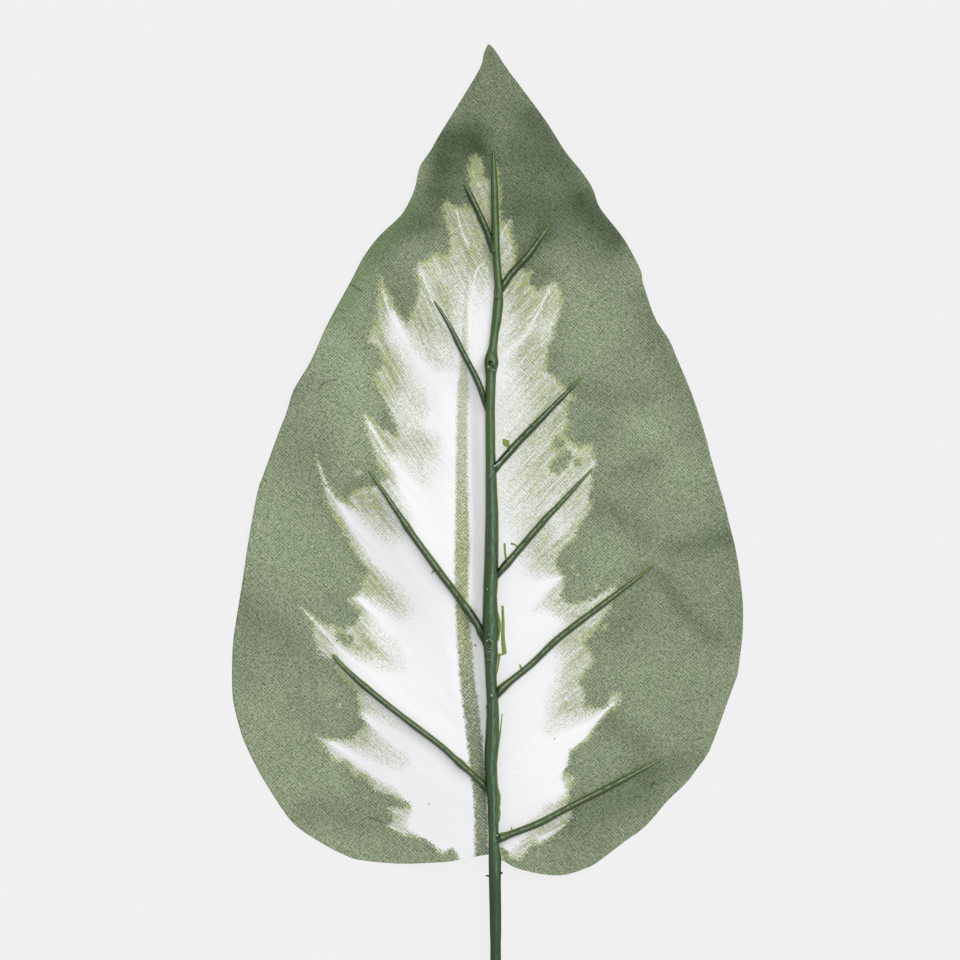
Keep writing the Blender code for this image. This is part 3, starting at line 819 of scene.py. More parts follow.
# The spray: its cover by how near the solid green is, at the very edge of it, and high on the leaf.
SPRAY_COVER = 0.62
SPRAY_STEP = (0.0, 0.65)
EDGE_COVER = 0.22
EDGE_STEP = (1.6, 0.1)
HIGH_COVER = 0.22
HIGH_SPRAY_STEP = (0.2, 0.7)
HIGH_ON_LEAF = (60.0, 130.0)
SPRAY_BRUSHED = 1.0
SPRAY_STREAKED = 1.9
SPRAY_UNEVENNESS = 0.7
SPRAY_GRAIN = 0.86
FLECKS_START = (0.0, 0.15)
# Its flecks are yellower in clusters, where they are sparse, and beside the solid green.
SPARSE_YELLOW = 0.14
SPARSE_STEP = (0.50, 0.10)
EDGE_YELLOW = 0.13
EDGE_YELLOW_STEP = (2.5, 0.3)
YELLOW_STEP = (0.38, 0.72)
GROUND_SWING = 0.10
LIGHT_PART_SHADE = 0.36

CREASE_STARTS = (0.0, 0.10)
CREASE_STOPS = (0.85, 0.45)
CREASE_NEAR = (1.4, 0.9)
CREASE_LINE_HALF_WIDTH = 0.30
CREASE_CLEARS = 0.8
STRIPE_WANDER = 1.4
STRIPE_EDGE_GRAIN = -0.6
STRIPE_GRAIN = -0.65
STRIPE_LIGHT = 1.15
STRIPE_LOW_STEP = (0.8, 0.97)
SOFT_EDGE = (-0.6, 0.8)
# How far each noise moves the edge of the solid green, in millimetres: brush, streaks, fine noise, grain.
EDGE_WANDERS = (2.0, 2.6, 3.4, 1.2)
MARK_STARTS = (0.0, 0.2)
MARK_STOPS = (1.0, 0.8)
MARK_SHADE = -0.50
CREASE_BUMP = 0.8
GRAIN_BUMP = 0.6
MARK_BUMP = -4.0
CLOTH_BUMP = 0.04
CUT_EDGE_BUMP = 0.05
STROKE_EDGE = (1.5, 0.6)


def weave(nodes, place):
    """How pale the threads are at each place, about one half."""
    wander = nodes.noise(place, *WANDER_NOISE).swing(THREAD_WANDER, 0.0)
    across, along = [nodes.vector("DOT_PRODUCT", place, way) + wander for way in THREAD_WAYS]

    def threads(way, run, period, layer):
        number = (way / period).floor()
        stretch = (run * (1 / THREAD_STRETCH) + nodes.chance(number, 0.0, layer)).floor()
        strength = nodes.chance(number, stretch, layer).swing(THREAD_UNEVENNESS, 0.5)
        return nodes.math("SINE", way * (2 * math.pi / period)) * strength

    cell = [(way / DYE_SPOT).floor() for way in (across, along)]
    grain = nodes.chance(*cell, SPOT_LAYER).swing(SPOT_SHARE, 0.5)
    grain = threads(across, along, THREAD_PERIOD, THREAD_LAYER) * THREAD_SHARE + grain
    return threads(along, across, CROSS_PERIOD, CROSS_LAYER) * CROSS_SHARE + grain


def with_strokes(nodes, place, colour, strokes):
    """The colour with short soft strokes on it, or round specks where a stroke ends at its start."""
    flat = nodes.vector("MULTIPLY", place, (1.0, 1.0, 0.0))
    for start, end, radius, shade in strokes:
        (x, y), (end_x, end_y) = seen([start, end])
        length = math.hypot(end_x - x, end_y - y)
        away = nodes.vector("SUBTRACT", flat, (x, y, 0.0))
        if length > 0:
            heading = ((end_x - x) / length, (end_y - y) / length, 0.0)
            run = nodes.math("MAXIMUM", nodes.vector("DOT_PRODUCT", away, heading), 0.0)
            away = nodes.vector("SUBTRACT", away, nodes.scaled(heading, nodes.math("MINIMUM", run, length)))
        gap = nodes.math("SQRT", nodes.vector("DOT_PRODUCT", away, away))
        colour = nodes.mix(gap.step(*[radius * share for share in STROKE_EDGE]), colour, srgb(*shade))
    return colour


def with_specks(nodes, place, colour, specks):
    """The colour with round specks on it."""
    return with_strokes(nodes, place, colour, [(at, at, radius, shade) for at, radius, shade in specks])


def solid_green(nodes, place, grain, light, brush, inks):
    """Cloth that took the green unevenly, darker under painted shade and clearer along the curled margin."""
    # Painted shade, or painted light where it is negative, darkens the green; so does a band beside the light
    # part.
    dark = nodes.values("shade") + nodes.values("light_depth").step(*BESIDE_LIGHT_PART) * BESIDE_SHADE
    shaded = nodes.combine(*[dark * -share + 1.0 for share in SHADE_SHARES])
    tone = brush.swing(TONE_SWING, nodes.noise(place, *PATCH_NOISE).swing(TONE_SWING))
    green = nodes.vector("MULTIPLY", nodes.mix(light, inks["deep"], inks["pale"]), shaded)
    curl = nodes.scaled(inks["curl"], grain.swing(CURL_GRAIN))
    return nodes.mix(nodes.values("curl") * CURL_COVER, nodes.scaled(green, tone), curl)


def crease_line(nodes):
    """1 on the fine line of a crease."""
    run = nodes.values("crease_run")
    line = nodes.values("crease_side").bell(CREASE_LINE_HALF_WIDTH)
    near = nodes.values("crease_gap").step(*CREASE_NEAR)
    return run.step(*CREASE_STARTS) * run.step(*CREASE_STOPS) * near * line


def sprayed_cloth(nodes, place, grain, noises, crease, inks):
    """White cloth with flecks of green, dense at the solid green and none along the creases."""
    brush, streaks, fine = noises
    depth, spray = nodes.values("light_depth"), nodes.values("spray")
    high = nodes.vector("DOT_PRODUCT", place, (0.0, 1.0, 0.0)).step(*HIGH_ON_LEAF)
    cover = spray.step(*SPRAY_STEP) * SPRAY_COVER + depth.step(*EDGE_STEP) * EDGE_COVER
    cover = cover + high * spray.step(*HIGH_SPRAY_STEP) * HIGH_COVER + nodes.values("veil")
    density = cover * brush.swing(SPRAY_BRUSHED) * streaks.swing(SPRAY_STREAKED)
    density = density * fine.swing(SPRAY_UNEVENNESS)
    cleared = nodes.math("MAXIMUM", crease, nodes.values("crease_band")) * CREASE_CLEARS
    density = (density * (1.0 - cleared)).limited()
    flecks = (0.5 - grain) * density.step(*FLECKS_START) * SPRAY_GRAIN
    yellow = nodes.noise(place, *CLUSTER_NOISE) + density.step(*SPARSE_STEP) * SPARSE_YELLOW
    yellow = yellow + depth.step(*EDGE_YELLOW_STEP) * EDGE_YELLOW
    ink = nodes.mix(yellow.step(*YELLOW_STEP), inks["pale_spray"], inks["deep_spray"])
    ground = nodes.scaled(inks["clear"], brush.swing(GROUND_SWING))
    cloth = nodes.mix((density + flecks).limited(), ground, ink)
    # Painted shade darkens the light part too, a little less than the green.
    return nodes.scaled(cloth, nodes.values("shade") * -LIGHT_PART_SHADE + 1.0)


def with_stripe(nodes, colour, grain, light, fine, inks):
    """The colour with the green line that is printed along the midvein."""
    strength = nodes.values("stripe_strength")
    inside_it = grain.swing(STRIPE_EDGE_GRAIN, fine.swing(STRIPE_WANDER, nodes.values("stripe")))
    cover = inside_it.step(*SOFT_EDGE) * strength * grain.swing(STRIPE_GRAIN)
    ink = nodes.mix(strength.step(*STRIPE_LOW_STEP), inks["stripe"], inks["low_stripe"])
    return nodes.mix(cover.limited(), colour, nodes.scaled(ink, light.swing(STRIPE_LIGHT)))


def make_cloth_material(name, roughness, **colours):
    """Printed cloth, from the side whose colours are given."""
    inks = {part: srgb(*colour) for part, colour in colours.items()}
    nodes = Nodes(name)
    place = nodes.place()
    grain = weave(nodes, place)
    light = grain.swing(GRAIN, 0.5).limited()
    root, run_out = nodes.values("vein_root"), nodes.values("vein_run")
    brush, streaks = [nodes.noise(nodes.combine(root * across, run_out * along, layer), *VEIN_NOISE)
                      for across, along, layer in (BRUSH, STREAKS)]
    fine = nodes.noise(place, *FINE_NOISE)
    crease = crease_line(nodes)
    green = solid_green(nodes, place, grain, light, brush, inks)
    light_cloth = sprayed_cloth(nodes, place, grain, (brush, streaks, fine), crease, inks)
    light_cloth = with_stripe(nodes, light_cloth, grain, light, fine, inks)
    edge = nodes.values("light_depth")
    for noise, wander in zip((brush, streaks, fine, grain), EDGE_WANDERS):
        edge = noise.swing(wander, edge)
    colour = nodes.mix(edge.step(*SOFT_EDGE), green, light_cloth)
    run = nodes.values("mark_run")
    mark = run.step(*MARK_STARTS) * run.step(*MARK_STOPS) * nodes.values("mark_side").bell(MARK_HALF_WIDTH)
    # The cloth is darker along the marks: painted shade in the slit and in the fine crease arc.
    colour = nodes.scaled(colour, mark * MARK_SHADE + 1.0)
    height = mark * MARK_BUMP + (crease * CREASE_BUMP + grain * GRAIN_BUMP)
    return nodes.finish_with(
        Base_Color=with_specks(nodes, place, colour, SPECKS), Roughness=roughness,
        Normal=nodes.bump(height, CLOTH_BUMP * MM, 0.8), Specular_IOR_Level=0.2, Sheen_Weight=0.06,
        Sheen_Roughness=0.5)


def make_rim_material():
    """The cut edge of the cloth: pale thread ends with the green at their tips."""
    nodes = Nodes("cloth_cut_edge")
    ends = nodes.noise(nodes.place(), 2.4, 2.0, 0.7)
    colour = nodes.mix(ends.step(0.35, 0.65), srgb(128, 142, 112), srgb(196, 204, 178))
    return nodes.finish_with(Base_Color=colour, Roughness=0.9, Normal=nodes.bump(ends, CUT_EDGE_BUMP * MM))


def as_object(name, surface):
    """A new object with a surface, which is freed, as its mesh."""
    mesh = bpy.data.meshes.new(name)
    surface.to_mesh(mesh)
    surface.free()
    return bpy.data.objects.new(name, mesh)


def into_scene(thing):
    bpy.context.scene.collection.objects.link(thing)


def cloth_grid(strips):
    """Places of the cloth's points, seen from above, in rows from the stem up to just below the tip."""
    shares = np.linspace(0.0, 1.0, CLOTH_ROWS + 1)
    left = evenly_along(traced(LEFT_MARGIN, LINE_POINTS), shares)
    right_shares = np.interp(shares, LEFT_VEIN_ENDS, RIGHT_VEIN_ENDS)
    right = evenly_along(traced(RIGHT_MARGIN, LINE_POINTS), right_shares)
    roots = np.interp(shares, LEFT_VEIN_ENDS, VEIN_ROOTS)
    middle = np.column_stack([stem_x(roots), roots])
    steps = np.arange(-strips, strips + 1) / strips
    ends = np.where(steps[None, :, None] < 0, left[:, None, :], right[:, None, :])
    grid = middle[:, None, :] + (ends - middle[:, None, :]) * np.abs(steps)[None, :, None]
    return grid[:-1]


def add_side(surface, grid, height, slot, upwards):
    """One side of the cloth: rows of quads and a fan at the tip. Gives each row's vertices and the tip."""
    z = height(grid[:, :, 0], grid[:, :, 1])
    rows = [[surface.verts.new((x * MM, y * MM, h * MM)) for (x, y), h in zip(row, heights)]
            for row, heights in zip(grid, z)]
    tip_x, tip_y = seen([TIP])[0]
    tip_z = float(height(np.array([tip_x]), np.array([tip_y]))[0])
    tip = surface.verts.new((tip_x * MM, tip_y * MM, tip_z * MM))

    def face(*corners):
        made = surface.faces.new(corners if upwards else corners[::-1])
        made.material_index = slot
        made.smooth = True

    for lower, upper in zip(rows, rows[1:]):
        for k in range(len(lower) - 1):
            face(lower[k], lower[k + 1], upper[k + 1], upper[k])
    for k in range(len(rows[-1]) - 1):
        face(rows[-1][k], rows[-1][k + 1], tip)
    return rows, tip


def add_rim(surface, back, face, back_tip, face_tip, slot):
    """The cut edge, between the two sides, all the way round."""
    def strip(upper, lower):
        for (a, b), (c, d) in zip(zip(upper, upper[1:]), zip(lower, lower[1:])):
            surface.faces.new((a, c, d, b)).material_index = slot

    strip([row[-1] for row in back] + [back_tip], [row[-1] for row in face] + [face_tip])
    strip([back_tip] + [row[0] for row in back[::-1]], [face_tip] + [row[0] for row in face[::-1]])
    surface.faces.new(back[0][::-1] + face[0]).material_index = slot


def make_cloth(materials):
    """The leaf's cloth as one closed sheet, with what its materials need to know at every vertex."""
    surface = bmesh.new()
    back_rows, back_tip = add_side(surface, cloth_grid(BACK_STRIPS), cloth_back, 0, True)
    face_rows, face_tip = add_side(surface, cloth_grid(FACE_STRIPS), cloth_face, 1, False)
    add_rim(surface, back_rows, face_rows, back_tip, face_tip, 2)
    bmesh.ops.recalc_face_normals(surface, faces=surface.faces)
    cloth = as_object("leaf_cloth", surface)
    into_scene(cloth)
    give_values(cloth.data, print_values)
    for material in materials:
        cloth.data.materials.append(material)
    return cloth


# Moulding: the cross-section of a rib or of the midrib, as shares of its half width, from the cloth up. A
# thin film of squeezed-out plastic runs along its foot.
PROFILE = [(1.11, 0.0), (1.09, 0.08), (1.0, 0.14), (0.99, 0.75), (0.86, 1.30), (0.58, 1.72), (0.22, 1.93)]
STEM_PROFILE = [
    (0.45, 0.05), (0.82, 0.36), (1.03, 0.82), (1.03, 1.18), (0.85, 1.58), (0.55, 1.85), (0.2, 1.98),
]
FILM_PROFILE = [(1.0, 0.0), (0.97, 0.16), (0.75, 0.27), (0.3, 0.31)]
EDGE_SHARE = 1.03
STEM_RINGS = 420
RIB_RINGS = 90
FLASH_RINGS = 14
LUMP_SEED = 4
LUMP_SPACING = 6
MIDRIB_LUMPS = 0.012
RIB_LUMPS = 0.05
FLASH_LUMPS = 0.1
SUNK_IN = 0.06
# Just above the blade's foot the round stem turns into the midrib: how far up, and over what length.
FLAT_FOOT_FROM = 1.0
FLAT_FOOT_OVER = 4.0

# Side ribs, in pixels from the midrib out to their tips, with half their width near the root in millimetres.
SIDE_RIBS = {
    "left_1": ([(494, 253), (488.6, 235.5), (481.8, 219.3), (471.4, 197.2), (464.5, 184)], 1.05),
    "left_2": ([(489, 414), (485.6, 403.6), (477.6, 381), (463, 352.6), (448.8, 324.7), (434.5, 301.5)], 1.0),
    "left_3": ([(489, 652), (483.6, 636), (476.7, 622.5), (466.8, 608), (451.5, 587.3), (440, 572),
                (420, 544.5), (410, 530.5), (398.9, 513.6), (379.7, 485.6), (369.2, 471)], 1.06),
    "left_4": ([(492, 797), (487.4, 788), (470.6, 772), (455.3, 758.3), (440, 744.5), (411, 722.5),
                (385.8, 702.9), (360.6, 682.1), (341, 664), (334.5, 656)], 1.0),
    "right_1": ([(497, 299), (500.8, 290), (512.2, 273), (527.6, 256), (539, 240.6), (547.6, 228)], 1.2),
    "right_2": ([(489, 479), (494.1, 470), (516.2, 444.2), (547.2, 412.4), (581.1, 377.8)], 1.16),
    "right_3": ([(490, 587), (493.6, 579), (508.7, 561.1), (544.5, 519.5), (559.6, 504), (592, 469)], 1.12),
    "right_4": ([(489, 708), (491.6, 701.4), (504, 686), (530.6, 664.2), (560, 636.5), (605.3, 602),
                 (637, 578), (652.5, 565.5)], 1.08),
    "right_5": ([(492, 845), (497.4, 839), (508.4, 834.6), (540.5, 822), (572.7, 804.9), (611, 785.8),
                 (642.8, 769), (662, 759)], 1.08),
}
RIB_TIP_WIDTH = 0.32
WIDE_TIPS = {"left_4": 0.75}
RIB_TAPERS = {"left_2": 2.6, "right_1": 3.4, "right_2": 3.4, "right_3": 3.0, "right_4": 4.5}
RIB_TAPER = 6.0
ROOT_LIFT = 0.95
ROOT_REACH = 6.5
# Where a rib is thicker than its neighbourhood: pixel and share.
SWELLINGS = {
    "left_3": [((407, 527), 0.20), ((437, 568), 0.06), ((469, 610), 0.30), ((475, 620), 0.42),
               ((481, 632), 0.40)],
    "left_4": [((363, 688), 0.16), ((461, 763), 0.30)],
    "right_3": [((506, 563), 0.16)],
    "right_4": [((503, 688), 0.25)],
    "right_5": [((501, 837.5), 0.30)],
}
SWELLING_REACH = 1.9
# Flash, the plastic squeezed out of the mould: thin strips in pixels, both ends' half widths in millimetres.
FLASH = {
    "lobe_by_right_2": ([(505.6, 446.4), (503.8, 443.4), (504.4, 439)], 0.34, 0.50),
    "second_lobe": ([(509, 447.6), (507.4, 444), (507.6, 440.2)], 0.62, 0.56),
    "strip_by_right_3": ([(504.5, 543), (505, 552), (506.5, 561)], 0.36, 0.30),
    "nub_by_right_3": ([(511, 543), (515, 544.5), (519, 549)], 0.34, 0.22),
    "long_strip": ([(502.6, 605.5), (503, 622), (503, 638), (504.4, 653)], 0.46, 0.78),
    "web_to_long_strip": ([(497, 655), (505.5, 653)], 0.36, 0.34),
    "web_above": ([(497.6, 612), (500.2, 626), (498, 640)], 0.30, 0.30),
    "web_below": ([(500, 653), (498.4, 664), (496.5, 674)], 0.34, 0.22),
    "thin_strip": ([(502.3, 713.4), (500, 734), (497, 754)], 0.16, 0.36),
    "low_edge_a": ([(498, 788), (500, 797), (499.4, 806)], 0.26, 0.30),
    "low_edge_b": ([(499, 806), (500, 815), (498, 824)], 0.30, 0.20),
    "tip_left_4": ([(333.2, 654.4), (335, 657.4), (337, 660)], 0.66, 0.60),
    "barb_left_3": ([(436, 567), (431.6, 573.5)], 0.30, 0.12),
    "barb_left_3_b": ([(405, 521), (402, 523)], 0.34, 0.2),
    "barb_right_3": ([(524, 541), (527.5, 543.5)], 0.26, 0.12),
    "barb_right_4_a": ([(522, 669.5), (519.6, 664)], 0.50, 0.34),
    "barb_right_4_b": ([(543, 652), (546, 655)], 0.3, 0.12),
    "barb_right_5": ([(512, 831), (511.5, 826.5)], 0.3, 0.12),
}
# Lumps on top of the midrib, where the mould was filled, and nubs on the stem's sides: pixel, height in half
# widths from the stem's middle, half sizes.
LUMPS = {
    "boss": ((490.9, 362.0), 0.72, (2.1, 3.4, 0.95)),
    "gate": ((488.9, 639.2), 1.0, (1.15, 0.9, 0.6)),
    "gate_drip": ((490.2, 646.4), 0.95, (0.6, 0.8, 0.4)),
    "gate_top": ((489.2, 632.0), 0.98, (0.45, 0.6, 0.35)),
    "mark": ((487.4, 588.8), 0.9, (0.4, 0.3, 0.3)),
    "fourth_root": ((491, 694), 0.8, (0.7, 1.0, 0.7)),
    "fifth_root": ((497, 835.5), 0.7, (0.6, 0.7, 0.6)),
    "collar": ((491.4, 371), 0.8, (1.2, 0.45, 0.5)),
    "nub_left": ((488.4, 875.4), 0.1, (1.05, 0.32, 0.34)),
    "nub_right": ((501.2, 872.5), 0.2, (0.55, 0.46, 0.42)),
}
# Pits in the plastic's top: pixel, radius, sides, how deep below the stem's top.
PITS = {
    "boss_hole": ((490.6, 363.4), 0.90, 5, 2.2),
    "boss_crack": ((492.7, 367.0), 0.5, 5, 1.0),
    "boss_crack_end": ((493.9, 369.2), 0.28, 4, 0.7),
    "gate_pit": ((489.9, 642.6), 0.5, 6, 0.9),
}
# A pin that stands in the boss's hole, given as the lumps are.
BOSS_PIN = ((491.2, 363.8), 0.5, (0.36, 0.36, 1.1))
ABOVE_ALL = 2.0
SHARP_ANGLE = math.radians(38)
# What belongs to the midrib or a rib, in its half widths from its middle.
MIDRIB_REACH = 1.3
# Heights on the leaf where the stem's and the upper midrib's own colours start and are full.
LOWER_STEM = (-72.0, -84.0)
UPPER_MIDRIB = (40.0, 75.0)
# Where the moulding is thinner than this it is a film, which shows fully this much thinner still.
FILM_THICKNESS = 0.55
FILM_FADE = 0.4
# On the midrib's top: a painted highlight along its ridge, how far to the right and how wide, in half widths.
HIGHLIGHT_AT = 0.30
HIGHLIGHT_WIDTH = 0.22
# Where the painted shade on the rims starts and is full, in half widths, and where a rib's tip starts and is
# full, as shares.
MIDRIB_RIM = (0.55, 0.95)
RIB_RIM = (0.5, 1.0)
RIB_TIP = (0.86, 0.98)


def stem_sides(y, z):
    """The stem's left and right edges at heights y, taken from the photograph for a stem this high up."""
    rows, left, right = np.array(STEM_EDGES).T
    nearer = (CAMERA_DISTANCE - CAMERA_FOCUS_HEIGHT) / (CAMERA_DISTANCE - z)
    row = PHOTO_MIDDLE + (ORIGIN_ROW - y / PIXEL - PHOTO_MIDDLE) * nearer
    return [(PHOTO_MIDDLE + (np.interp(row, rows, columns) - PHOTO_MIDDLE) / nearer - ORIGIN_COLUMN) * PIXEL
            for columns in (left, right)]


def cad_radius(y):
    """Radius of the CAD model's stem and midrib, whose centre line the stem below the blade follows."""
    full = np.interp(y, [BOSS_AT, BOSS_AT + BOSS_FADE], [STEM_RADIUS, UPPER_RADIUS])
    taper = np.interp(y, [UPPER_TAPER_FROM, STEM_LINE[-1][1]], [1.0, 0.0])
    return MIDRIB_TIP_RADIUS + taper * (full - MIDRIB_TIP_RADIUS)


def cad_midrib_height(y):
    """Height of the centre line of the CAD model's midrib on the blade."""
    y = np.asarray(y, float)
    return cad_back(stem_x(y), y) + GAP + np.where(y < BOSS_AT, STEM_RADIUS, cad_radius(y))


def stem_height(y):
    """Height of the stem's centre line: on the blade's back, then down to the floor at the cut end."""
    y = np.asarray(y, float)
    base = VEIN_ROOTS[0]
    run = base - STEM_LINE[0][1]
    t = np.clip((base - y) / run, 0.0, None)
    start = cad_midrib_height(base)
    start_slope = (start - cad_midrib_height(base + SLOPE_STEP)) / SLOPE_STEP * run
    low = STEM_RADIUS + STEM_END_ABOVE_FLOOR
    slope_part = start_slope * (t ** 3 - 2 * t ** 2 + t)
    below = start + (low - start) * (3 * t ** 2 - 2 * t ** 3) + slope_part
    return np.where(y >= base, cad_midrib_height(y), below)


def lumps(count, size, seed):
    """Uneven swelling along a moulded rib, as factors about 1."""
    coarse = np.random.default_rng(seed).normal(0.0, size, max(count // LUMP_SPACING, 4))
    return 1 + np.interp(np.linspace(0, 1, count), np.linspace(0, 1, len(coarse)), coarse)


def tube(name, rings, smooth=False):
    """A closed tube through rings of places in millimetres."""
    surface = bmesh.new()
    rings = [[surface.verts.new([length * MM for length in place]) for place in ring] for ring in rings]
    for lower, upper in zip(rings, rings[1:]):
        for k in range(len(lower)):
            after = (k + 1) % len(lower)
            surface.faces.new((lower[k], lower[after], upper[after], upper[k])).smooth = smooth
    surface.faces.new(rings[0])
    surface.faces.new(rings[-1][::-1])
    bmesh.ops.recalc_face_normals(surface, faces=surface.faces)
    return as_object(name, surface)


def sweep(name, places, radii, feet, profiles):
    """A closed tube: at each place a half profile, mirrored, scaled to the radius and set on the foot."""
    rings = []
    headings = np.gradient(places, axis=0)
    for (x, y), heading, radius, foot, profile in zip(places, headings, radii, feet, profiles):
        side_x, side_y = np.array([heading[1], -heading[0]]) / np.linalg.norm(heading)
        right = [(across * radius, up * radius) for across, up in profile]
        section = right + [(-across, up) for across, up in right[::-1]]
        rings.append([(x + side_x * across, y + side_y * across, foot + up) for across, up in section])
    return tube(name, rings)


def make_midrib():
    """Stem and midrib: round below the blade, with a flat foot where they lie on the cloth."""
    y = np.linspace(STEM_LINE[0][1], STEM_LINE[-1][1], STEM_RINGS)
    middle = stem_height(y)
    left, right = stem_sides(y, middle)
    x = (left + right) / 2
    radii = (right - left) / 2 / EDGE_SHARE * lumps(STEM_RINGS, MIDRIB_LUMPS, LUMP_SEED)
    on_cloth = ease((y - VEIN_ROOTS[0] - FLAT_FOOT_FROM) / FLAT_FOOT_OVER)
    round_foot = middle - radii
    flat_foot = (cloth_back(x, y) - SUNK_IN) * on_cloth + round_foot * (1 - on_cloth)
    feet = np.where(on_cloth > 0, flat_foot, round_foot)
    stretches = (middle + radii - feet) / radii / 2
    profiles = [(np.array(STEM_PROFILE) * (1 - share) + np.array(PROFILE) * share) * (1.0, stretch)
                for share, stretch in zip(on_cloth, stretches)]
    return sweep("stem_and_ribs_visible", np.column_stack([x, y]), radii, feet, profiles)


def lying_tube(name, line, radii, profiles):
    """A tube that lies on the cloth's back, a little sunk into it."""
    return sweep(name, line, radii, cloth_back(line[:, 0], line[:, 1]) - SUNK_IN, profiles)


def make_rib(name, pixels, half_width, seed):
    """One side rib, from inside the midrib out along the cloth to a thin tip."""
    line = traced(pixels, RIB_RINGS)
    share = np.linspace(0.0, 1.0, RIB_RINGS)
    tip_width = WIDE_TIPS.get(name, RIB_TIP_WIDTH)
    radii = half_width + (tip_width - half_width) * share ** RIB_TAPERS.get(name, RIB_TAPER)
    radii = radii * lumps(RIB_RINGS, RIB_LUMPS, seed)
    for pixel, swelling in SWELLINGS.get(name, []):
        radii = radii * (1 + swelling * bell(from_spot(pixel, *line.T), SWELLING_REACH))
    from_root = np.hypot(*(line - line[0]).T)
    lifts = 1 + ROOT_LIFT * ease(1 - from_root / ROOT_REACH)
    return lying_tube("rib_" + name, line, radii, [np.array(PROFILE) * (1.0, lift) for lift in lifts])


def make_flash(name, pixels, first_width, last_width):
    """A thin strip of squeezed-out plastic on the cloth."""
    radii = np.linspace(first_width, last_width, FLASH_RINGS) * lumps(FLASH_RINGS, FLASH_LUMPS, len(name))
    profiles = [np.array(FILM_PROFILE) / (1.0, radius) for radius in radii]
    return lying_tube("flash_" + name, traced(pixels, FLASH_RINGS), radii, profiles)


def stem_at(pixel):
    """The stem at a pixel: x, y, the height of its middle and half its width."""
    x, y = seen([pixel])[0]
    middle = float(stem_height(y))
    left, right = stem_sides(y, middle)
    return x, y, middle, float(right - left) / 2


def moved(name, solid, x, y, z):
    """A new object with a solid that is moved to a place."""
    bmesh.ops.translate(solid, verts=solid.verts, vec=(x * MM, y * MM, z * MM))
    return as_object(name, solid)


def make_lump(name, pixel, rise, sizes):
    """A small round lump on the midrib or the stem."""
    x, y, middle, half_width = stem_at(pixel)
    solid = bmesh.new()
    bmesh.ops.create_icosphere(solid, subdivisions=2, radius=1.0)
    bmesh.ops.scale(solid, vec=[size * MM for size in sizes], verts=solid.verts)
    return moved("lump_" + name, solid, x, y, middle + rise * half_width)


def upright_post(name, pixel, radius, sides, below_top):
    """An upright post in the stem, from below its top to the air above it."""
    x, y, middle, half_width = stem_at(pixel)
    height = ABOVE_ALL + below_top
    solid = bmesh.new()
    bmesh.ops.create_cone(solid, cap_ends=True, segments=sides, radius1=radius * MM, radius2=radius * MM,
                          depth=height * MM)
    return moved(name, solid, x, y, middle + half_width + ABOVE_ALL - height / 2)


def join_solids(target, operation, others):
    """Joins the others to the target or cuts them out, and removes them."""
    group = bpy.data.collections.new("operands")
    bpy.context.scene.collection.children.link(group)
    for other in others:
        group.objects.link(other)
    modifier = target.modifiers.new(operation.lower(), "BOOLEAN")
    modifier.operation = operation
    modifier.operand_type = "COLLECTION"
    modifier.collection = group
    modifier.solver = "EXACT"
    bpy.context.view_layer.update()
    evaluated = target.evaluated_get(bpy.context.evaluated_depsgraph_get())
    mesh = bpy.data.meshes.new_from_object(evaluated)
    target.modifiers.clear()
    target.data = mesh
    for other in others:
        bpy.data.objects.remove(other)
    bpy.data.collections.remove(group)


def risen(value, start, full):
    """0 before the start, 1 from where it is full and soft between them."""
    return ease((value - start) / (full - start))


def plastic_values(x, y, z):
    """What the plastic's material reads at each vertex, by name."""
    left, right = stem_sides(y, stem_height(y))
    across = (2 * x - left - right) / (right - left)
    on_midrib = np.abs(across) < MIDRIB_REACH
    ribs = []
    for name, (pixels, half_width) in SIDE_RIBS.items():
        distance, share, side = nearest_on(traced(pixels, RIB_RINGS), x, y)
        ribs.append((distance / half_width, share, side if name.startswith("right") else -side))
    gap, out, side = closest(ribs)
    upper = gap * side
    on_rib = ~on_midrib & (gap < MIDRIB_REACH)
    thick = z - cloth_back(x, y)
    film = np.where(y > VEIN_ROOTS[0], ease((FILM_THICKNESS - thick) / FILM_FADE), 0.0)
    # Painted shade on the rims: none in the middle of the midrib or a rib, full at its sides.
    rim = np.where(on_midrib, risen(np.abs(across), *MIDRIB_RIM), risen(np.abs(upper), *RIB_RIM))
    olive = np.where(on_midrib, ease(across + 0.5), np.where(on_rib, ease(upper + 0.5), 1.0))
    return {
        # A painted highlight along the midrib's top.
        "ridge": np.where(on_midrib, bell(across - HIGHLIGHT_AT, HIGHLIGHT_WIDTH), 0.0),
        "rim": np.where(on_midrib | on_rib, rim, 0.0),
        "olive": film * olive,
        "cream": np.where(on_midrib & (across < 0), film, 0.0),
        "rib": np.where(on_rib, 1.0, 0.0),
        "rib_upper": np.where(on_rib, upper, 0.0),
        "rib_tip": np.where(on_rib, risen(out, *RIB_TIP), 0.0),
        "low": risen(y, *LOWER_STEM),
        "high": risen(y, *UPPER_MIDRIB),
    }


# Painted highlights: glints on the plastic where it was drawn out or filled: pixel, radius in millimetres,
# colour.
GLINTS = [
    ((487.2, 588.8), 0.20, (168, 186, 164)), ((492.8, 575.4), 0.20, (176, 190, 170)),
    ((489.0, 633.6), 0.26, (150, 170, 146)), ((486.8, 640.0), 0.22, (190, 198, 170)),
    ((491.8, 640.4), 0.20, (176, 188, 160)), ((489.8, 647.8), 0.24, (150, 168, 150)),
    ((491.6, 694.6), 0.26, (186, 196, 186)), ((497.2, 834.4), 0.28, (150, 168, 150)),
    ((488.4, 367.6), 0.26, (172, 188, 164)), ((493.9, 370.4), 0.22, (160, 176, 150)),
    ((491.3, 363.8), 0.24, (142, 152, 118)),
]
